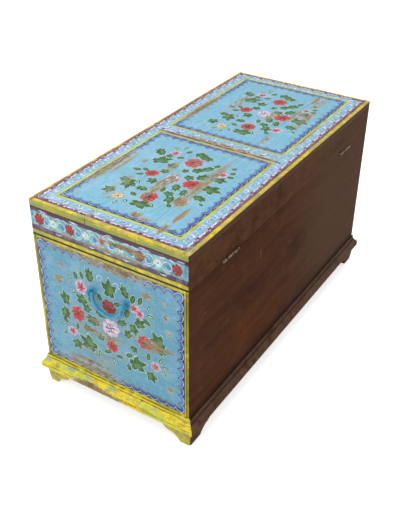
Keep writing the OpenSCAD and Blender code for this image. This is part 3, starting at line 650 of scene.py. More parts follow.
# The parts of a board that a layer can lie on
PARTS = {
    "ends": lambda x, y, z: abs(x).over(HALF_L - SKIN),
    "back": lambda x, y, z: y.over(HALF_D - SKIN),
    "front": lambda x, y, z: (y * -1).over(HALF_D - SKIN),
    "top": lambda x, y, z: z.over(LID_Z - 0.0016, 0.0005),
    "behind": lambda x, y, z: y.over(HALF_D),
    "all": lambda x, y, z: 1,
}


def layered_board(name, layers, specular=0.35):
    """A board of bare wood with paint or stain on some of its parts."""
    material, n = start_material(name)
    axes = n.axes()
    colour, wear, height = n.use(grounds["inside"])
    for key, part in layers:
        mask = PARTS[part](*axes)
        top_colour, top_wear, top_height = n.use(grounds[key])
        colour = n.mix(mask, colour, top_colour)
        wear = n.blend(mask, wear, top_wear)
        height = n.blend(mask, height, top_height)
    finish_surface(n, colour, 0.5 + wear * 0.26, height, specular=specular)
    return material


def metal(name, base, rust, rough, metallic, flake):
    """Old metal: the base colour, rust or bare metal in flakes, and hammered dents."""
    material, n = start_material(name)
    cloud = n.noise(130, 4, 0.6)
    colour = n.mix(cloud.ramp(flake, flake + 0.08), base, rust)
    finish_surface(n, colour, rough + cloud * 0.25, n.noise(60, 2, 0.5) + cloud * 0.5, 0.3, 0.0006, metallic)
    return material


painted_ends, stained_back = ("end", "ends"), ("brown", "back")
materials = {slot: layered_board(*board) for slot, board in {
    "end_board_paint": ("painted end boards", [painted_ends]),
    "front_board_paint": ("painted front boards", [("front", "front"), painted_ends]),
    "back_board_wood": ("stained back boards", [painted_ends, stained_back], 0.05),
    "lid_rail_paint": ("painted lid rails", [("rail", "front"), ("rail", "ends")]),
    "lid_back_wood": ("stained lid rail", [("rail", "ends"), stained_back], 0.05),
    "lid_top_paint": ("painted lid top", [("top_edge", "ends"), ("top_edge", "front"), stained_back, ("top", "top")]),
    "plinth_paint": ("yellow plinth", [("plinth", "all")]),
    "plinth_back_wood": ("brown plinth", [("brown", "all")], 0.12),
    "plinth_nail_heads": ("painted plinth nails", [("plinth", "all"), ("brown", "behind")]),
    "foot_paint": ("yellow feet", [("plinth", "all")]),
    "foot_back_wood": ("brown feet", [("brown", "all")], 0.06),
    "bare_wood": ("bare planks", []),
    "crosswise_wood": ("battens", [("crosswise", "all")]),
}.items()}
materials.update({slot: metal(*look) for slot, look in {
    "hinge_steel": ("worn hinge steel", (54, 47, 38), (13, 9, 6.5), 0.5, 0.2, 0.46),
    "nail_iron": ("nail iron", (23, 17, 13), (33, 22, 15), 0.55, 0.35, 0.55),
    "black_iron": ("black iron", (20, 18.5, 17.5), (36, 24, 16), 0.42, 0.6, 0.6),
    "handle_paint": ("painted handle iron", (25, 57, 70), (8, 25, 34), 0.26, 0.08, 0.6),
}.items()})

slot_of = {entry["node"]: entry["material_slot"] for entry in frame["record"]["subparts"]}
look_of = {**slot_of, "plinth_nails": "plinth_nail_heads"}
for node_name in ("floor_bearer_left", "floor_bearer_right", "lid_batten_left", "lid_batten_right"):
    look_of[node_name] = "crosswise_wood"
for node_name, node in frame["nodes"].items():
    node.data.materials.clear()
    node.data.materials.append(materials[look_of[node_name]])


# ---------- modelling by hand ----------

def take(piece):
    """Makes a piece the only selected one."""
    bpy.ops.object.select_all(action="DESELECT")
    piece.select_set(True)
    bpy.context.view_layer.objects.active = piece


def begin_edit(piece):
    take(piece)
    bpy.ops.object.mode_set(mode="EDIT")


def end_edit():
    bpy.ops.object.mode_set(mode="OBJECT")


def pick_all(action="SELECT"):
    bpy.ops.mesh.select_all(action=action)


def pick(test, kind="VERT"):
    """Selects the points or faces of the piece in hand whose middle passes a test."""
    bpy.ops.mesh.select_mode(type=kind)
    pick_all("DESELECT")
    mesh = bmesh.from_edit_mesh(bpy.context.edit_object.data)
    for part in mesh.verts if kind == "VERT" else mesh.faces:
        if test(part.co if kind == "VERT" else part.calc_center_median()):
            part.select_set(True)
    mesh.select_flush_mode()
    bmesh.update_edit_mesh(bpy.context.edit_object.data)


def grow(factors, about=(0, 0, 0)):
    bpy.ops.transform.resize(value=factors, center_override=about)


def shift(way):
    bpy.ops.transform.translate(value=way)


def rename(piece, name):
    piece.name = piece.data.name = name
    return piece


def place_new(name, mesh):
    """Puts a new object with a mesh in the scene."""
    piece = bpy.data.objects.new(name, mesh)
    bpy.context.scene.collection.objects.link(piece)
    return piece


def take_over(piece, node):
    """Lets a piece stand in for a node, on the same body."""
    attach(piece, body_of[node])
    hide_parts(node)


# ---------- planks with softened edges ----------

LOOP_STEP = 0.03
SHORT_EDGE = 0.12  # an edge that needs no cuts


def plank(name, low, high, softness, rebate=None):
    """A plank with worn, softened edges. rebate is its inner thickness's end and the length of each thin lip."""
    middle = (low + high) / 2
    size = high - low
    if rebate:
        lip_y, lip_length = rebate
        size.x -= 2 * lip_length
    bpy.ops.mesh.primitive_cube_add(size=1, location=middle, scale=size)
    piece = rename(bpy.context.active_object, name)
    bpy.ops.object.transform_apply(location=True, rotation=True, scale=True)
    begin_edit(piece)
    if rebate:
        pick_all()
        bpy.ops.mesh.bisect(plane_co=(0, lip_y, 0), plane_no=(0, 1, 0))
        outer = 1 if middle.y > 0 else -1
        for way in (-1, 1):
            pick(lambda p: way * p.x > size.x / 2 - 1e-5 and outer * (p.y - lip_y) > 0, "FACE")
            bpy.ops.mesh.extrude_region_move(TRANSFORM_OT_translate={"value": (way * lip_length, 0, 0)})
    for axis in range(3):
        span = (high - low)[axis]
        if span > SHORT_EDGE:
            bpy.ops.mesh.select_mode(type="EDGE")
            pick_all("DESELECT")
            for edge in bmesh.from_edit_mesh(piece.data).edges:
                along = edge.verts[1].co - edge.verts[0].co
                edge.select_set(abs(along[axis]) > 0.99 * along.length and along.length > SHORT_EDGE)
            bmesh.update_edit_mesh(piece.data)
            bpy.ops.mesh.subdivide(number_cuts=int(span / LOOP_STEP))
    pick_all("DESELECT")
    bpy.ops.mesh.edges_select_sharp(sharpness=math.radians(30))
    bpy.ops.mesh.bevel(offset=softness, segments=3, affect="EDGES")
    planes = [(axis, value[axis]) for axis in range(3) for value in (low, high)]
    if rebate:
        planes += [(1, lip_y), (0, size.x / 2), (0, -size.x / 2)]
    pick(lambda p: all(abs(p[axis] - value) > 1e-6 for axis, value in planes))
    bpy.ops.transform.vertex_random(offset=0.22 * softness, seed=len(name))
    end_edit()
    bpy.ops.object.shade_smooth_by_angle(angle=math.radians(40))
    return piece


def stand_in(node, softness, rebated=False):
    """A softened plank in a node's place. A rebated one has thin lips over the end boards' edges."""
    low, high = lowest(node), highest(node)
    rebate = None
    if rebated:
        end_board = "lid_right_rail" if node.startswith("lid") else "right_end_upper_board"
        rebate = (END_HALF_D if low.y > 0 else -END_HALF_D, highest(end_board).x - lowest(end_board).x)
    piece = plank(node + "_plank", low, high, softness, rebate)
    piece.data.materials.append(materials[slot_of[node]])
    take_over(piece, node)
    return piece


body_of = {node: body for body, nodes in frame["record"]["behaviour"]["bodies"].items() for node in nodes}

for side in ("left", "right"):
    stand_in(side + "_end_upper_board", 0.001)
    stand_in(side + "_end_lower_board", 0.001)
    stand_in("lid_" + side + "_rail", 0.0013)
for node_name in ("front_upper_board", "front_lower_board", "lid_front_rail"):
    stand_in(node_name, 0.0015, True)
stand_in("back_lower_board", 0.0005, True)
for place_name, softness in (("front", 0.0016), ("middle", 0.0008), ("back", 0.0016)):
    stand_in("lid_top_" + place_name + "_board", softness)


def hinge_bed(piece, side):
    """Cuts the bed of one hinge, its leaf and its barrel, out of a plank at the seam."""
    pin_low, pin_high = lowest(side + "_hinge_pin"), highest(side + "_hinge_pin")
    seam = (SEAM_Z + RAIL_Z) / 2
    half_bed, clearance, barrel_room, beyond_back = 0.0021, 0.0002, 0.0022, 0.0042
    leaf = lowest(side + "_hinge_body_leaf")
    low = Vector((leaf.x - clearance, leaf.y - clearance, seam - half_bed))
    high = Vector((highest(side + "_hinge_lid_leaf").x + clearance, HALF_D + beyond_back, seam + half_bed))
    bpy.ops.mesh.primitive_cube_add(size=1, location=(low + high) / 2, scale=high - low)
    leaf_cut = bpy.context.active_object
    bpy.ops.mesh.primitive_cylinder_add(
        vertices=32, radius=(pin_high.z - pin_low.z) / 2 + barrel_room, depth=high.x - low.x + 4 * clearance,
        location=(pin_low + pin_high) / 2, rotation=(0, math.radians(90), 0))
    for cutter in (leaf_cut, bpy.context.active_object):
        cut = piece.modifiers.new("hinge bed", "BOOLEAN")
        cut.operation = "DIFFERENCE"
        cut.object = cutter
        take(piece)
        bpy.ops.object.modifier_apply(modifier=cut.name)
        bpy.data.objects.remove(cutter)


for node_name in ("back_upper_board", "lid_back_rail"):
    back_piece = stand_in(node_name, 0.0005, True)
    for side in ("left", "right"):
        hinge_bed(back_piece, side)

# Nails driven a little below the paint
for node_name in ("carcass_nails", "lid_nails"):
    nails = place_new(node_name + "_sunk", frame["nodes"][node_name].data.copy())
    begin_edit(nails)
    pick_all()
    bpy.ops.mesh.remove_doubles(threshold=0.00001)
    grow((0.9975, 0.9975, 0.9975), (0, 0, 0.3))
    end_edit()
    take_over(nails, node_name)


# ---------- brush strokes ----------
# Each stroke is a thin raised shape. The shapes are one unit long, with a height of one unit.

def turn_of(point):
    """Degrees clockwise from +Y."""
    return math.degrees(math.atan2(point.x, point.y))


def raise_stroke(name):
    """Gives the flat stroke in hand its thickness and leaves edit mode."""
    pick_all()
    bpy.ops.mesh.extrude_region_move(TRANSFORM_OT_translate={"value": (0, 0, 1)})
    pick_all()
    bpy.ops.mesh.normals_make_consistent(inside=False)
    end_edit()
    return rename(bpy.context.active_object, name)


def disc(points):
    bpy.ops.mesh.primitive_circle_add(vertices=points, radius=0.5, fill_type="NGON")
    begin_edit(bpy.context.active_object)


def ragged(size):
    """A brush never leaves an even edge."""
    pick_all()
    bpy.ops.transform.vertex_random(offset=size, seed=3)
    grow((1, 1, 0))


def dab(name):
    """A round touch of the brush."""
    disc(8)
    return raise_stroke(name)


def lens(name):
    """A plain leaf or petal: pointed at both ends."""
    disc(12)
    pick(lambda p: 0.4 < abs(p.y) < 0.46)
    grow((0.66, 1, 1))
    pick(lambda p: p.y > 0.48)
    shift((0.04, 0.03, 0))
    return raise_stroke(name)


def lobed(name, lobes, notch):
    """A leaf with a pointed lobe at its tip, others down both sides and a notch at its stalk."""
    disc(4 * lobes)
    step = 90 / lobes
    for corner, reach in ((2, notch), (1, 0.88), (3, 0.88), (0, 1.14)):
        pick(lambda p: round(turn_of(p) / step) % 4 == corner)
        grow((reach, reach, 1))
    pick(lambda p: 50 < abs(turn_of(p)) < 170 and p.length > 0.5)
    shift((0, 0.11, 0))
    pick(lambda p: abs(turn_of(p)) < 1)
    shift((0.03, 0.05, 0))
    ragged(0.022)
    return raise_stroke(name)


def blossom(name, petals, valley):
    """The outline of a flower: round petals with valleys between them."""
    disc(4 * petals)
    step = 90 / petals
    for corner, reach in ((2, valley), (0, 1.03)):
        pick(lambda p: round(turn_of(p) / step) % 4 == corner)
        grow((reach, reach, 1))
    ragged(0.028)
    return raise_stroke(name)


def arc(name, sweep, width, steps):
    """A stroke along an arc, thin at both ends and bulging towards +Y."""
    bpy.ops.mesh.primitive_plane_add(size=1)
    begin_edit(bpy.context.active_object)
    pick(lambda p: p.y > 0)
    bpy.ops.mesh.delete(type="VERT")
    pick_all()
    grow((width, 1, 1), (0, -0.5, 0))
    shift((0.5, 0.5, 0))
    bpy.ops.mesh.spin(steps=steps, angle=math.radians(sweep), center=(0, 0, 0), axis=(0, 0, 1))
    pick_all()
    bpy.ops.mesh.remove_doubles(threshold=0.0001)
    end_edit()
    piece = bpy.context.active_object
    middle = sum((v.co for v in piece.data.vertices), Vector())
    piece.data.transform(Matrix.Rotation(math.radians(turn_of(middle)), 4, "Z"))
    begin_edit(piece)
    for k in range(steps + 1):
        turn = -sweep / 2 + sweep * k / steps
        pick(lambda p: abs(turn_of(p) - turn) < 1)
        thin = max(0.16, math.sin(math.pi * (k + 0.35) / (steps + 0.7)) ** 0.8)
        grow((thin, thin, 1), (0.5 * math.sin(math.radians(turn)), 0.5 * math.cos(math.radians(turn)), 0))
    return raise_stroke(name)


shapes = {name: shape(name, *sizes) for name, shape, *sizes in (
    ("dab", dab),
    ("lens", lens),
    ("vine leaf", lobed, 5, 0.6),
    ("small leaf", lobed, 5, 0.66),
    ("long leaf", lobed, 7, 0.76),
    ("five petals", blossom, 5, 0.78),
    ("seven petals", blossom, 7, 0.84),
    ("scallop", arc, 130, 0.06, 8),
    ("crescent", arc, 120, 0.2, 8),
    ("curl", arc, 265, 0.12, 12),
    ("hook", arc, 210, 0.34, 8),
    ("wave", arc, 96, 0.05, 8),
)}

# Each paint's two shades
PAINTS = {
    "white": ((86, 90, 94), (70, 78, 88)),
    "grey white": ((72, 78, 84), (56, 64, 76)),
    "cream": ((84, 85, 76), (76, 76, 62)),
    "pale green": ((74, 86, 82), (47, 64, 56)),
    "leaf green": ((8.5, 23.5, 9), (20, 40, 18)),
    "light green": ((36, 54, 25), (26, 44, 21)),
    "red": ((69, 18.5, 16), (64, 16, 15)),
    "orange": ((80, 33, 24), (72, 26, 19)),
    "crimson": ((52, 8, 11), (40, 7, 9)),
    "maroon": ((17, 6, 7), (24, 7, 8)),
    "pink": ((86, 60, 66), (78, 48, 56)),
    "pale pink": ((85, 77, 82), (76, 64, 72)),
    "lilac": ((62, 58, 76), (50, 42, 60)),
    "mauve": ((70, 62, 70), (56, 50, 56)),
    "wine": (WINE, PURPLE),
    "rust": ((42, 30, 33), (40, 25, 34)),
    "cyan": ((70, 88, 88), (56, 78, 82)),
    "sky": ((29, 54, 69), (30, 45, 69)),
    "brick": ((62, 20, 16), (52, 14, 11)),
    "ochre": ((70, 56, 24), (56, 40, 16)),
}
placeholders = {name: bpy.data.materials.new(name) for name in PAINTS}
LAYER = 0.00007
SINK = 0.00006


def laid(mesh, name, matrix):
    """A copy of a mesh, with its own place."""
    copy = mesh.copy()
    copy.transform(matrix)
    return place_new(name, copy)


def laying(u, v, turn, width, length, height, sink=0):
    """Turns a shape clockwise by some degrees, sizes it and moves it to u, v."""
    return (Matrix.Translation((u, v, -sink)) @ Matrix.Rotation(math.radians(-turn), 4, "Z")
            @ Matrix.Diagonal((width, length, height, 1)))


def stroke(name, shape, paint, layer, width, length=None, u=0, v=0, turn=0):
    """A stroke of a motif, in a layer over others. Its sizes and its place are in hundredths of the motif."""
    width, length, u, v = (value / 100 for value in (width, length or width, u, v))
    piece = laid(shapes[shape].data, name, laying(u, v, turn, width, length, layer * LAYER + SINK, SINK))
    piece.data.materials.append(placeholders[paint])
    return piece


def joined(pieces, name):
    take(pieces[0])
    for piece in pieces:
        piece.select_set(True)
    bpy.ops.object.join()
    return rename(pieces[0], name)


def ring_of(shape, paint, layer, width, length, count, radius, first=0):
    """Strokes round a flower's middle, pointing outwards."""
    turns = [first + 360 * k / count for k in range(count)]
    return [(shape, paint, layer, width, length, radius * math.sin(math.radians(turn)),
             radius * math.cos(math.radians(turn)), turn) for turn in turns]


def leaf_of(shape, side_veins, reach, rib="light green"):
    """A leaf with a chalky outline, a lighter half and fine veins."""
    return [(shape, "pale green", 1, 116, 114, 0, 1), (shape, "leaf green", 2, 102),
            (shape, "light green", 3, 34, 52, 13, -4, 12), ("lens", rib, 4, 2.4, 56, 0, -2)] + [
        ("lens", "light green", 4, 2.2, reach, way * reach * 0.45, 20 * k - 15, way * 56)
        for k in range(side_veins) for way in (-1, 1)]


# The strokes of each flower, leaf and scroll: shape, paint, layer, width, length, u, v and turn.
# Sizes and places are in hundredths of the motif, turns in degrees.
MOTIFS = {
    "red flower": [("seven petals", "pink", 1, 103), ("seven petals", "red", 2, 100),
        *ring_of("lens", "orange", 3, 13, 28, 7, 33), *ring_of("lens", "crimson", 4, 7, 40, 7, 24, 25.7),
        *ring_of("lens", "maroon", 5, 10, 28, 4, 12, 20), ("dab", "maroon", 6, 17)],
    "ragged red flower": [("seven petals", "pink", 1, 104, 104, 0, 0, 12), ("seven petals", "red", 2, 100),
        ("lens", "crimson", 5, 7, 54, 2, 0, 28), ("dab", "ochre", 5, 10, 9, 3, -2),
        *ring_of("lens", "orange", 3, 15, 30, 6, 31, 8), *ring_of("lens", "crimson", 4, 7, 42, 7, 23, 30),
        *ring_of("lens", "pink", 4, 4, 13, 5, 43, 30)],
    "rail rose": [("seven petals", "maroon", 1, 107), ("seven petals", "brick", 2, 100),
        ("five petals", "red", 3, 74, 70, -4, 5, 20), ("five petals", "crimson", 4, 46, 40, 4, -2, 50),
        ("five petals", "brick", 5, 30, 26, 2, 2, 10), *ring_of("lens", "maroon", 5, 5, 24, 6, 36, 14)],
    "pink flower": [("five petals", "white", 1, 108), ("five petals", "pink", 2, 100),
        *ring_of("lens", "pale pink", 3, 14, 30, 5, 34), *ring_of("lens", "crimson", 4, 9, 34, 5, 24, 12),
        *ring_of("lens", "red", 5, 6, 26, 5, 20, 40), ("dab", "crimson", 5, 20, 20, 4, 2)],
    "pale flower": [("seven petals", "mauve", 1, 104, 106), ("seven petals", "pale pink", 2, 100, 102),
        *ring_of("dab", "white", 3, 24, 22, 5, 32, 20), *ring_of("dab", "mauve", 3, 14, 12, 6, 24, 50),
        *ring_of("lens", "pink", 4, 10, 16, 4, 36, 10), *ring_of("lens", "wine", 5, 5, 20, 4, 15, 40),
        ("dab", "ochre", 5, 13, 12, 2, 0), ("dab", "maroon", 6, 9, 7, -2, -5)],
    "cream flower": [("five petals", "cream", 2, 100), ("five petals", "white", 3, 70, 70, 0, 0, 36),
        *ring_of("lens", "pale green", 4, 5, 26, 5, 26, 36), ("dab", "ochre", 4, 18)],
    "worn flower": [("seven petals", "ochre", 1, 100), ("seven petals", "cream", 2, 90, 88, 0, 0, 8),
        *ring_of("lens", "ochre", 3, 10, 36, 7, 27), *ring_of("lens", "pink", 4, 8, 20, 5, 34, 16),
        ("dab", "ochre", 4, 22)],
    "vine leaf": leaf_of("vine leaf", 3, 36, "ochre"),
    "long leaf": leaf_of("long leaf", 3, 24, "ochre"),
    "small leaf": leaf_of("small leaf", 2, 26),
    "plain leaf": [("lens", "pale green", 1, 126, 112), ("lens", "leaf green", 2, 100),
        ("lens", "light green", 3, 24, 72, 6, 0)],
    "open leaf": [("lens", "pale green", 1, 100), ("lens", "leaf green", 2, 76, 86),
        ("lens", "pale green", 3, 30, 60, 5, 0)],
    "scallop": [("scallop", "white", 2, 100), ("lens", "pale pink", 3, 5.5, 26, 45.2, 13, -8),
        ("dab", "rust", 3, 18, 21, 45.2, -4)],
    "lid scallop": [("scallop", "grey white", 2, 100), ("lens", "lilac", 3, 4.5, 20, 45.2, 13, -8),
        ("dab", "rust", 3, 10, 13, 45.2, -2)],
    "band scroll": [("crescent", "white", 3, 42, 38, 0, 5), ("wave", "cyan", 2, 60, 54, -26, 8, -42),
        ("wave", "grey white", 2, 56, 50, 26, 4, 40), ("hook", "white", 3, 26, 26, 50, -10, -60),
        ("curl", "cyan", 2, 24, 24, 30, -13, 120), ("dab", "sky", 1, 10, 10, -24, -12),
        ("curl", "white", 2, 26, 26, -24, -12, -110), ("lens", "white", 2, 5, 26, 2, -18, 72),
        ("lens", "cyan", 2, 5, 22, 10, -2, 30), ("lens", "lilac", 2, 10, 30, -10, 20, 84),
        ("lens", "lilac", 2, 8, 26, 36, 17, 70), ("lens", "pale pink", 3, 8, 24, 26, 25, 78),
        ("lens", "white", 4, 5, 20, 30, 22, 50), ("lens", "pink", 4, 7, 18, -36, 27, 96),
        ("lens", "wine", 3, 12, 26, 50, 23, 90), ("lens", "white", 4, 5, 20, -30, 22, 118)],
    "rail curls": [("dab", "sky", 1, 26, 34, 2, -2), ("curl", "cyan", 2, 60, 66, -2, -1, 60),
        ("curl", "white", 3, 36, 42, 2, -2, 210), ("hook", "cyan", 3, 16, 18, 0, 0, 40),
        ("wave", "white", 3, 86, 78, -10, 6, -16), ("crescent", "grey white", 3, 46, 40, -10, 17, -24),
        ("wave", "cyan", 2, 50, 44, 22, -16, 130), ("crescent", "grey white", 2, 46, 34, -4, -19, 176)],
    "gull scroll": [("dab", "sky", 1, 24, 32, 6, -2), ("curl", "cyan", 2, 50, 54, 0, -5, -70),
        ("curl", "white", 3, 30, 34, 7, -3, 120), ("crescent", "white", 3, 46, 26, -19, 24, -10),
        ("crescent", "cyan", 3, 44, 30, 20, 21, 22), ("lens", "cyan", 2, 6, 30, -34, -8, 30),
        ("lens", "cyan", 2, 6, 28, 36, -4, -24), ("wave", "grey white", 2, 60, 40, 0, -17, 180)],
    "small crescent": [("crescent", "white", 2, 100, 80, 0, -30), ("lens", "pale pink", 3, 10, 50, 10, 0, 80)],
    "faint curl": [("curl", "white", 1, 100, 100, 0, 0, -40), ("hook", "grey white", 1, 40, 40, 0, 0, 120)],
}
motifs = {name: joined([stroke(name, *row) for row in strokes], name) for name, strokes in MOTIFS.items()}


def stroke_paint(ground, paint):
    """A brush stroke's paint, worn away where the paint under it is."""
    material, n = start_material(paint + " on " + ground)
    brush = n.noise(120, 4, 0.65)
    under, wear, height = n.use(grounds[ground])
    colour = n.mix(brush.ramp(0.42, 0.58), *PAINTS[paint])
    colour = n.mix(n.most(wear, brush.ramp(0.56, 0.7) * 0.3), colour, under)
    finish_surface(n, colour, 0.46 + wear * 0.3, height + brush, 0.2, 0.0004)
    return material


stroke_paints = {}


SCROLL_PITCH = 53
SCROLL_LENGTH = 52
# The scallop motif's height above its cusps, and its cusps' distance from its middle
SCALLOP_HEIGHT = 0.2887
SCALLOP_CUSP = 0.4532


class Face:
    """A painted face of the chest: its middle, its own axes and the motifs laid on it."""

    def __init__(self, name, ground, body, slot, origin, u_axis, v_axis, seed):
        normal = Vector(u_axis).cross(Vector(v_axis))
        self.matrix = Matrix.Translation(origin) @ Matrix((u_axis, v_axis, normal)).transposed().to_4x4()
        self.name = name
        self.ground = ground
        self.body = body
        self.slot = slot
        self.pieces = []
        self.hand = random.Random(seed)

    def put(self, name, u, v, width, length=None, turn=0, loose=6):
        """Lays a motif at u, v in millimetres. loose is how far the hand may stray in its turn."""
        turn += self.hand.uniform(-loose, loose)
        size = self.hand.uniform(0.94, 1.06) / MM
        thickness = 1 + 0.04 * (len(self.pieces) % 6)
        own = laying(u / MM, v / MM, turn, width * size, (length or width) * size, thickness)
        piece = laid(motifs[name].data, self.name, self.matrix @ own)
        for k, placeholder in enumerate(piece.data.materials):
            key = (self.ground, placeholder.name)
            if key not in stroke_paints:
                stroke_paints[key] = stroke_paint(*key)
            piece.data.materials[k] = stroke_paints[key]
        self.pieces.append(piece)

    def spray(self, flowers, u0, v0, scale=1, leaf_scale=1.05):
        """Lays a spray of flowers and leaves round a middle. A leaf with no turn of its own points outwards."""
        for name, spots in flowers.items():
            leaf = "leaf" in name
            full = scale * (leaf_scale if leaf else 1)
            for u, v, width, *more in spots:
                length = more[0] if more else width
                outwards = math.degrees(math.atan2(u, v))
                turn = more[1] if len(more) > 1 else outwards if leaf else self.hand.uniform(0, 72)
                self.put(name, u0 + u * scale, v0 + v * scale, full * width, full * length, turn)

    def row(self, name, start, end, turn, pitch, size, inward=0, loose=3):
        """A motif repeated from one place to another. size gives its width and length from its share of the way."""
        run = Vector(end) - Vector(start)
        count = round(run.length / pitch)
        angle = math.radians(turn)
        aside = Vector((-math.sin(angle), -math.cos(angle))) * inward
        for k in range(count):
            at = Vector(start) + run * ((k + 0.5) / count) + aside
            self.put(name, *at, *size(run.length / count), turn, loose)

    def scalloped_border(self, panel, name="scallop"):
        """White scallops that bulge outwards round a panel, with a dot inside each cusp."""
        left, right, low, high = (MM * value for value in panel)
        depth = MM * SCALLOP_RISE / SCALLOP_HEIGHT
        for start, end, turn in (((left, low), (right, low), 180), ((left, high), (right, high), 0),
                                 ((left, low), (left, high), -90), ((right, low), (right, high), 90)):
            self.row(name, start, end, turn, MM * SCALLOP_PITCH, lambda chord: (chord / (2 * SCALLOP_CUSP), depth),
                     MM * SCALLOP_INSET + depth / 2, 2)

    def band_scrolls(self, *runs):
        """Scrolls along bands. A run is its two ends and the turn that says which way its scrolls point."""
        for start, end, turn in runs:
            self.row("band scroll", start, end, turn, SCROLL_PITCH, lambda width: (width, SCROLL_LENGTH))

    def rail_row(self, places):
        """Red and cream flowers along a rail with curls between them."""
        for k, (u, name, size) in enumerate(places):
            self.put(name, u, 0, size, 1.12 * size, 0, 30)
            if "rose" in name:
                self.put("small crescent", u + 10, 25, 24, 16)
            else:
                self.put("small crescent", u + 16, -28, 24, 16, 180)
            if k + 1 < len(places):
                gap = places[k + 1][0] - u
                self.put("gull scroll" if k % 2 else "rail curls", u + gap / 2, 0, gap, 56, 0, 4)

    def finish(self):
        piece = joined(self.pieces, self.name)
        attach(piece, self.body)


# Sprays in millimetres from their middle: u, v, width, length and turn
END_SPRAY = {
    "pale flower": [(-3, -2, 54, 56)],
    # Painted shade: the rail rose here, inside the handle's bail, is a darker red flower where the handle's shadow
    # falls
    "rail rose": [(-4, 69, 43, 40)],
    "ragged red flower": [(-115, 0, 44, 50), (109, -2, 46, 48), (-2, -65, 38, 36)],
    "pink flower": [(-96, 98, 34, 42), (78, 99, 30, 32), (96, 88, 28, 32), (-142, -71, 34, 30), (141, -70, 28, 30)],
    "vine leaf": [(0, 127, 44, 58), (-84, -92, 52, 62, -62), (80, -90, 50, 58, 66), (152, 20, 40, 50, -40)],
    "small leaf": [(-96, 55, 34, 40, -60), (94, 55, 34, 40, 50), (-81, 32, 30, 32, 20), (75, 29, 28, 38, 160),
        (-156, 36, 34, 48, -14), (-127, -111, 34, 36, -150), (127, -111, 36, 38, 160), (54, 2, 26, 32, 20),
        (-86, -38, 26, 28, -30), (158, -8, 26, 32, 110), (72, -40, 24, 28, 120), (-40, -50, 22, 28, 60)],
    "long leaf": [(-63, 147, 28, 42, -8), (51, 138, 27, 44, -18), (-35, 34, 24, 42, -58), (35, 33, 22, 40, 66),
        (-62, -2, 34, 50, -80), (-160, -14, 32, 42, -168), (55, 72, 18, 34, 20)],
    "plain leaf": [(-90, 139, 13, 26, -8), (-111, 130, 14, 27, -14), (76, 126, 15, 30, 14), (99, 130, 13, 28, 24),
        (-33, 90, 14, 25, -30), (25, 89, 14, 27, 66), (-66, 70, 15, 22, 20), (-121, -46, 12, 25, 12),
        (55, -70, 15, 26, 60), (52, -114, 15, 26, 165), (-163, -41, 15, 24, -50), (119, -45, 13, 26, 10),
        (-19, -91, 13, 30, 70), (21, -91, 12, 24, 80), (118, 70, 14, 26, 120)],
    "open leaf": [(126, 119, 14, 22, 40), (-132, 119, 13, 20, -60), (-134, 98, 12, 20, -100), (-123, 73, 13, 20, -140),
        (131, 93, 15, 26, 100), (-177, -60, 13, 22, -80), (-169, -86, 14, 25, -150), (-48, -111, 14, 28, 10),
        (0, -115, 14, 29, 0), (158, -42, 14, 23, 30), (173, -60, 13, 28, 95), (168, -81, 14, 24, 140)],
    "faint curl": [(-28, 150, 20), (24, 146, 20)],
}
TOP_SPRAY = {
    "pale flower": [(3, 6, 46, 42)],
    "ragged red flower": [(1, 69, 54, 44), (-108, 4, 52, 48), (5, -60, 42, 36)],
    "red flower": [(117, 10, 48, 46)],
    "pink flower": [(-89, 109, 30, 26), (95, 95, 40, 32), (-131, -73, 36, 28)],
    "worn flower": [(155, -63, 40, 34)],
    "vine leaf": [(-1, 125, 44, 54), (-74, -84, 38, 54, -40), (84, -79, 40, 54, 66), (160, 12, 38, 62, -14)],
    "small leaf": [(-58, 118, 32, 38, -10), (101, 63, 30, 36, 60), (-73, 36, 28, 28, -20), (-27, 40, 28, 30, 10),
        (77, 43, 26, 32, 16), (-61, -37, 32, 30, -100), (-23, -37, 28, 28, -150), (40, -34, 32, 30, 130),
        (-108, -78, 20, 22, -110), (139, -103, 34, 36, 140), (-54, 10, 20, 22, -70), (71, -103, 24, 26, 170),
        (-160, -6, 30, 34, -20)],
    "long leaf": [(54, 123, 27, 42, 6), (-48, 70, 28, 42, -64), (51, 73, 22, 38, 76), (-95, 56, 26, 42, -50),
        (37, 41, 25, 40, 60), (90, -32, 22, 32, 168), (-117, -114, 30, 44, -140), (-151, 18, 26, 44, 10)],
    "plain leaf": [(-136, 119, 13, 18, -60), (-111, 129, 13, 17, -20), (-88, 134, 14, 22, -10), (-125, 71, 16, 22, -60),
        (128, 79, 14, 17, 40), (64, 17, 14, 28, 70), (126, -34, 14, 25, 20), (-115, -45, 14, 24, -30),
        (-158, -43, 14, 22, -60), (-5, -87, 14, 22, 200), (26, -86, 14, 22, 140), (7, -109, 14, 25, 180),
        (80, 145, 9, 15)],
    "open leaf": [(167, -30, 14, 20, 50), (186, -49, 13, 22, 90), (178, -76, 13, 19, 150), (-175, -65, 13, 24, -90),
        (-161, -87, 14, 22, -160), (65, -62, 14, 24, 60), (150, 40, 14, 22, 40)],
}

for way, side in ((1, "right"), (-1, "left")):
    painting = Face(side + "_end_painting", "end", "carcass", "end_board_paint", (way * HALF_L, 0, 0),
                    (0, way, 0), (0, 0, 1), 11)
    painting.spray(END_SPRAY, 0, 302, 1, 1)
    painting.scalloped_border(END_FIELD)
    painting.finish()
    band = Face(side + "_rail_painting", "rail", "lid", "lid_rail_paint", (way * HALF_L, 0, RAIL_MIDDLE_Z),
                (0, way, 0), (0, 0, 1), 23)
    band.rail_row([(-217, "rail rose", 29), (-170, "cream flower", 24), (-115, "rail rose", 29),
                   (-63, "cream flower", 24), (-11, "pink flower", 26), (46, "cream flower", 22),
                   (103, "rail rose", 28), (158, "cream flower", 25), (213, "rail rose", 29)])
    band.finish()

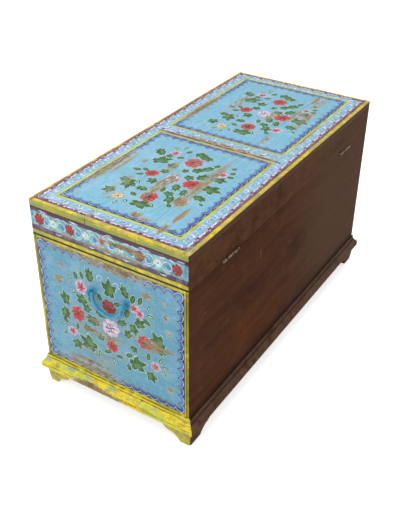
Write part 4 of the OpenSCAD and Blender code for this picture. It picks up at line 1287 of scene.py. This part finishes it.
half_l, half_d, half_h = MM * HALF_L, MM * HALF_D, MM * FRONT_HALF
top = Face("lid_top_painting", "top", "lid", "lid_top_paint", (0, 0, LID_Z), (1, 0, 0), (0, 1, 0), 5)
for panel, middle_u in zip(TOP_PANELS, (258, -266)):
    top.spray(TOP_SPRAY, middle_u, 0)
    top.scalloped_border(inside_line(panel), "lid scallop")
top.band_scrolls(
    ((20 - half_l, 31 - half_d), (half_l - 20, 31 - half_d), 180),
    ((20 - half_l, half_d - 36), (half_l - 20, half_d - 36), 0),
    ((half_l - 31, 46 - half_d), (half_l - 31, half_d - 52), 90),
    ((31 - half_l, 46 - half_d), (31 - half_l, half_d - 52), -90),
    ((-7, 48 - half_d), (-7, half_d - 54), 90))
top.finish()

front = Face("front_painting", "front", "carcass", "front_board_paint", (0, -HALF_D, FRONT_MIDDLE_Z),
             (1, 0, 0), (0, 0, 1), 17)
for panel in FRONT_PANELS:
    front.spray(TOP_SPRAY, MM * (panel[0] + panel[1]) / 2, 0, 0.88)
    front.scalloped_border(inside_line(panel))
front.band_scrolls(
    ((20 - half_l, 31 - half_h), (half_l - 20, 31 - half_h), 180),
    ((20 - half_l, half_h - 31), (-26, half_h - 31), 0),
    ((26, half_h - 31), (half_l - 20, half_h - 31), 0),
    ((half_l - 31, 46 - half_h), (half_l - 31, half_h - 46), 90),
    ((31 - half_l, 46 - half_h), (31 - half_l, half_h - 46), -90),
    ((-4, 48 - half_h), (-4, half_h - 140), 90))
front.finish()

front_band = Face("front_rail_painting", "rail", "lid", "lid_rail_paint", (0, -HALF_D, RAIL_MIDDLE_Z),
                  (1, 0, 0), (0, 0, 1), 29)
for half in (range(-10, 0), range(1, 11)):
    front_band.rail_row([(k * 52.5, *(("rail rose", 28) if k % 2 else ("cream flower", 24))) for k in half])
front_band.finish()

for stencil in list(shapes.values()) + list(motifs.values()):
    bpy.data.objects.remove(stencil)
for placeholder in placeholders.values():
    bpy.data.materials.remove(placeholder)
bpy.ops.object.select_all(action="DESELECT")


# ---------- camera, lamps and floor ----------

def put_in_studio(name, data, place, quaternion):
    thing = place_new(name, data)
    thing.location = place
    thing.rotation_mode = "QUATERNION"
    thing.rotation_quaternion = quaternion
    return thing


azimuth, elevation, roll = (math.radians(angle) for angle in (122.01, 33.77, 0.47))
toward = Vector((math.sin(azimuth) * math.cos(elevation), -math.cos(azimuth) * math.cos(elevation),
                 math.sin(elevation)))
aim = toward.to_track_quat("Z", "Y") @ Matrix.Rotation(roll, 3, "Z").to_quaternion()
camera = put_in_studio("camera", bpy.data.cameras.new("camera"), (1.767, 1.037, 1.592), aim)
camera.data.sensor_width = 36
camera.data.lens = 53.41
camera.data.clip_end = 60
bpy.context.scene.camera = camera

for name, place, target, size, power in (
        ("overhead softbox", (0.6, -0.3, 3.6), (0, 0, 0.5), (3, 3), 62),
        ("end softbox", (3.8, -1.4, 2), (0.3, 0, 0.3), (2.4, 2.4), 46),
        ("back fill", (0.6, 4.2, 2), (0, 0, 0.3), (3, 2), 26),
        ("front fill", (-1.5, -4, 2.2), (0, 0, 0.3), (3, 2.4), 40)):
    light = bpy.data.lights.new(name, "AREA")
    light.shape = "RECTANGLE"
    light.size, light.size_y = size
    light.energy = power
    put_in_studio(name, light, place, (Vector(target) - Vector(place)).to_track_quat("-Z", "Y"))

world = bpy.data.worlds.new("studio")
bpy.context.scene.world = world
world.use_nodes = True
world.node_tree.nodes.clear()
w = Nodes(world.node_tree)
seen = w.most(w.ray("Camera"), w.most(w.ray("Glossy"), w.ray("Transmission")))
sky = w.add("ShaderNodeBackground", {"Color": (1, 1, 1, 1), "Strength": seen * 0.45 + 0.55})
w.outputs("ShaderNodeOutputWorld", {0: sky})

bpy.ops.mesh.primitive_plane_add(size=16, location=(0, 0, -0.0005))
floor = bpy.context.active_object
floor.name = "studio_floor"
floor_material, f = start_material("pale floor")
diffuse = f.add("ShaderNodeBsdfDiffuse", {"Color": (0.9, 0.9, 0.9, 1)})
glow = f.add("ShaderNodeEmission", {"Color": (1, 1, 1, 1), "Strength": 0.62})
lit = f.add("ShaderNodeAddShader", {0: diffuse, 1: glow})
choice = f.add("ShaderNodeMixShader", {0: f.most(f.ray("Camera"), f.ray("Glossy")), 1: diffuse, 2: lit})
f.outputs("ShaderNodeOutputMaterial", {0: choice})
floor.data.materials.append(floor_material)

bpy.context.scene.view_settings.view_transform = "Standard"
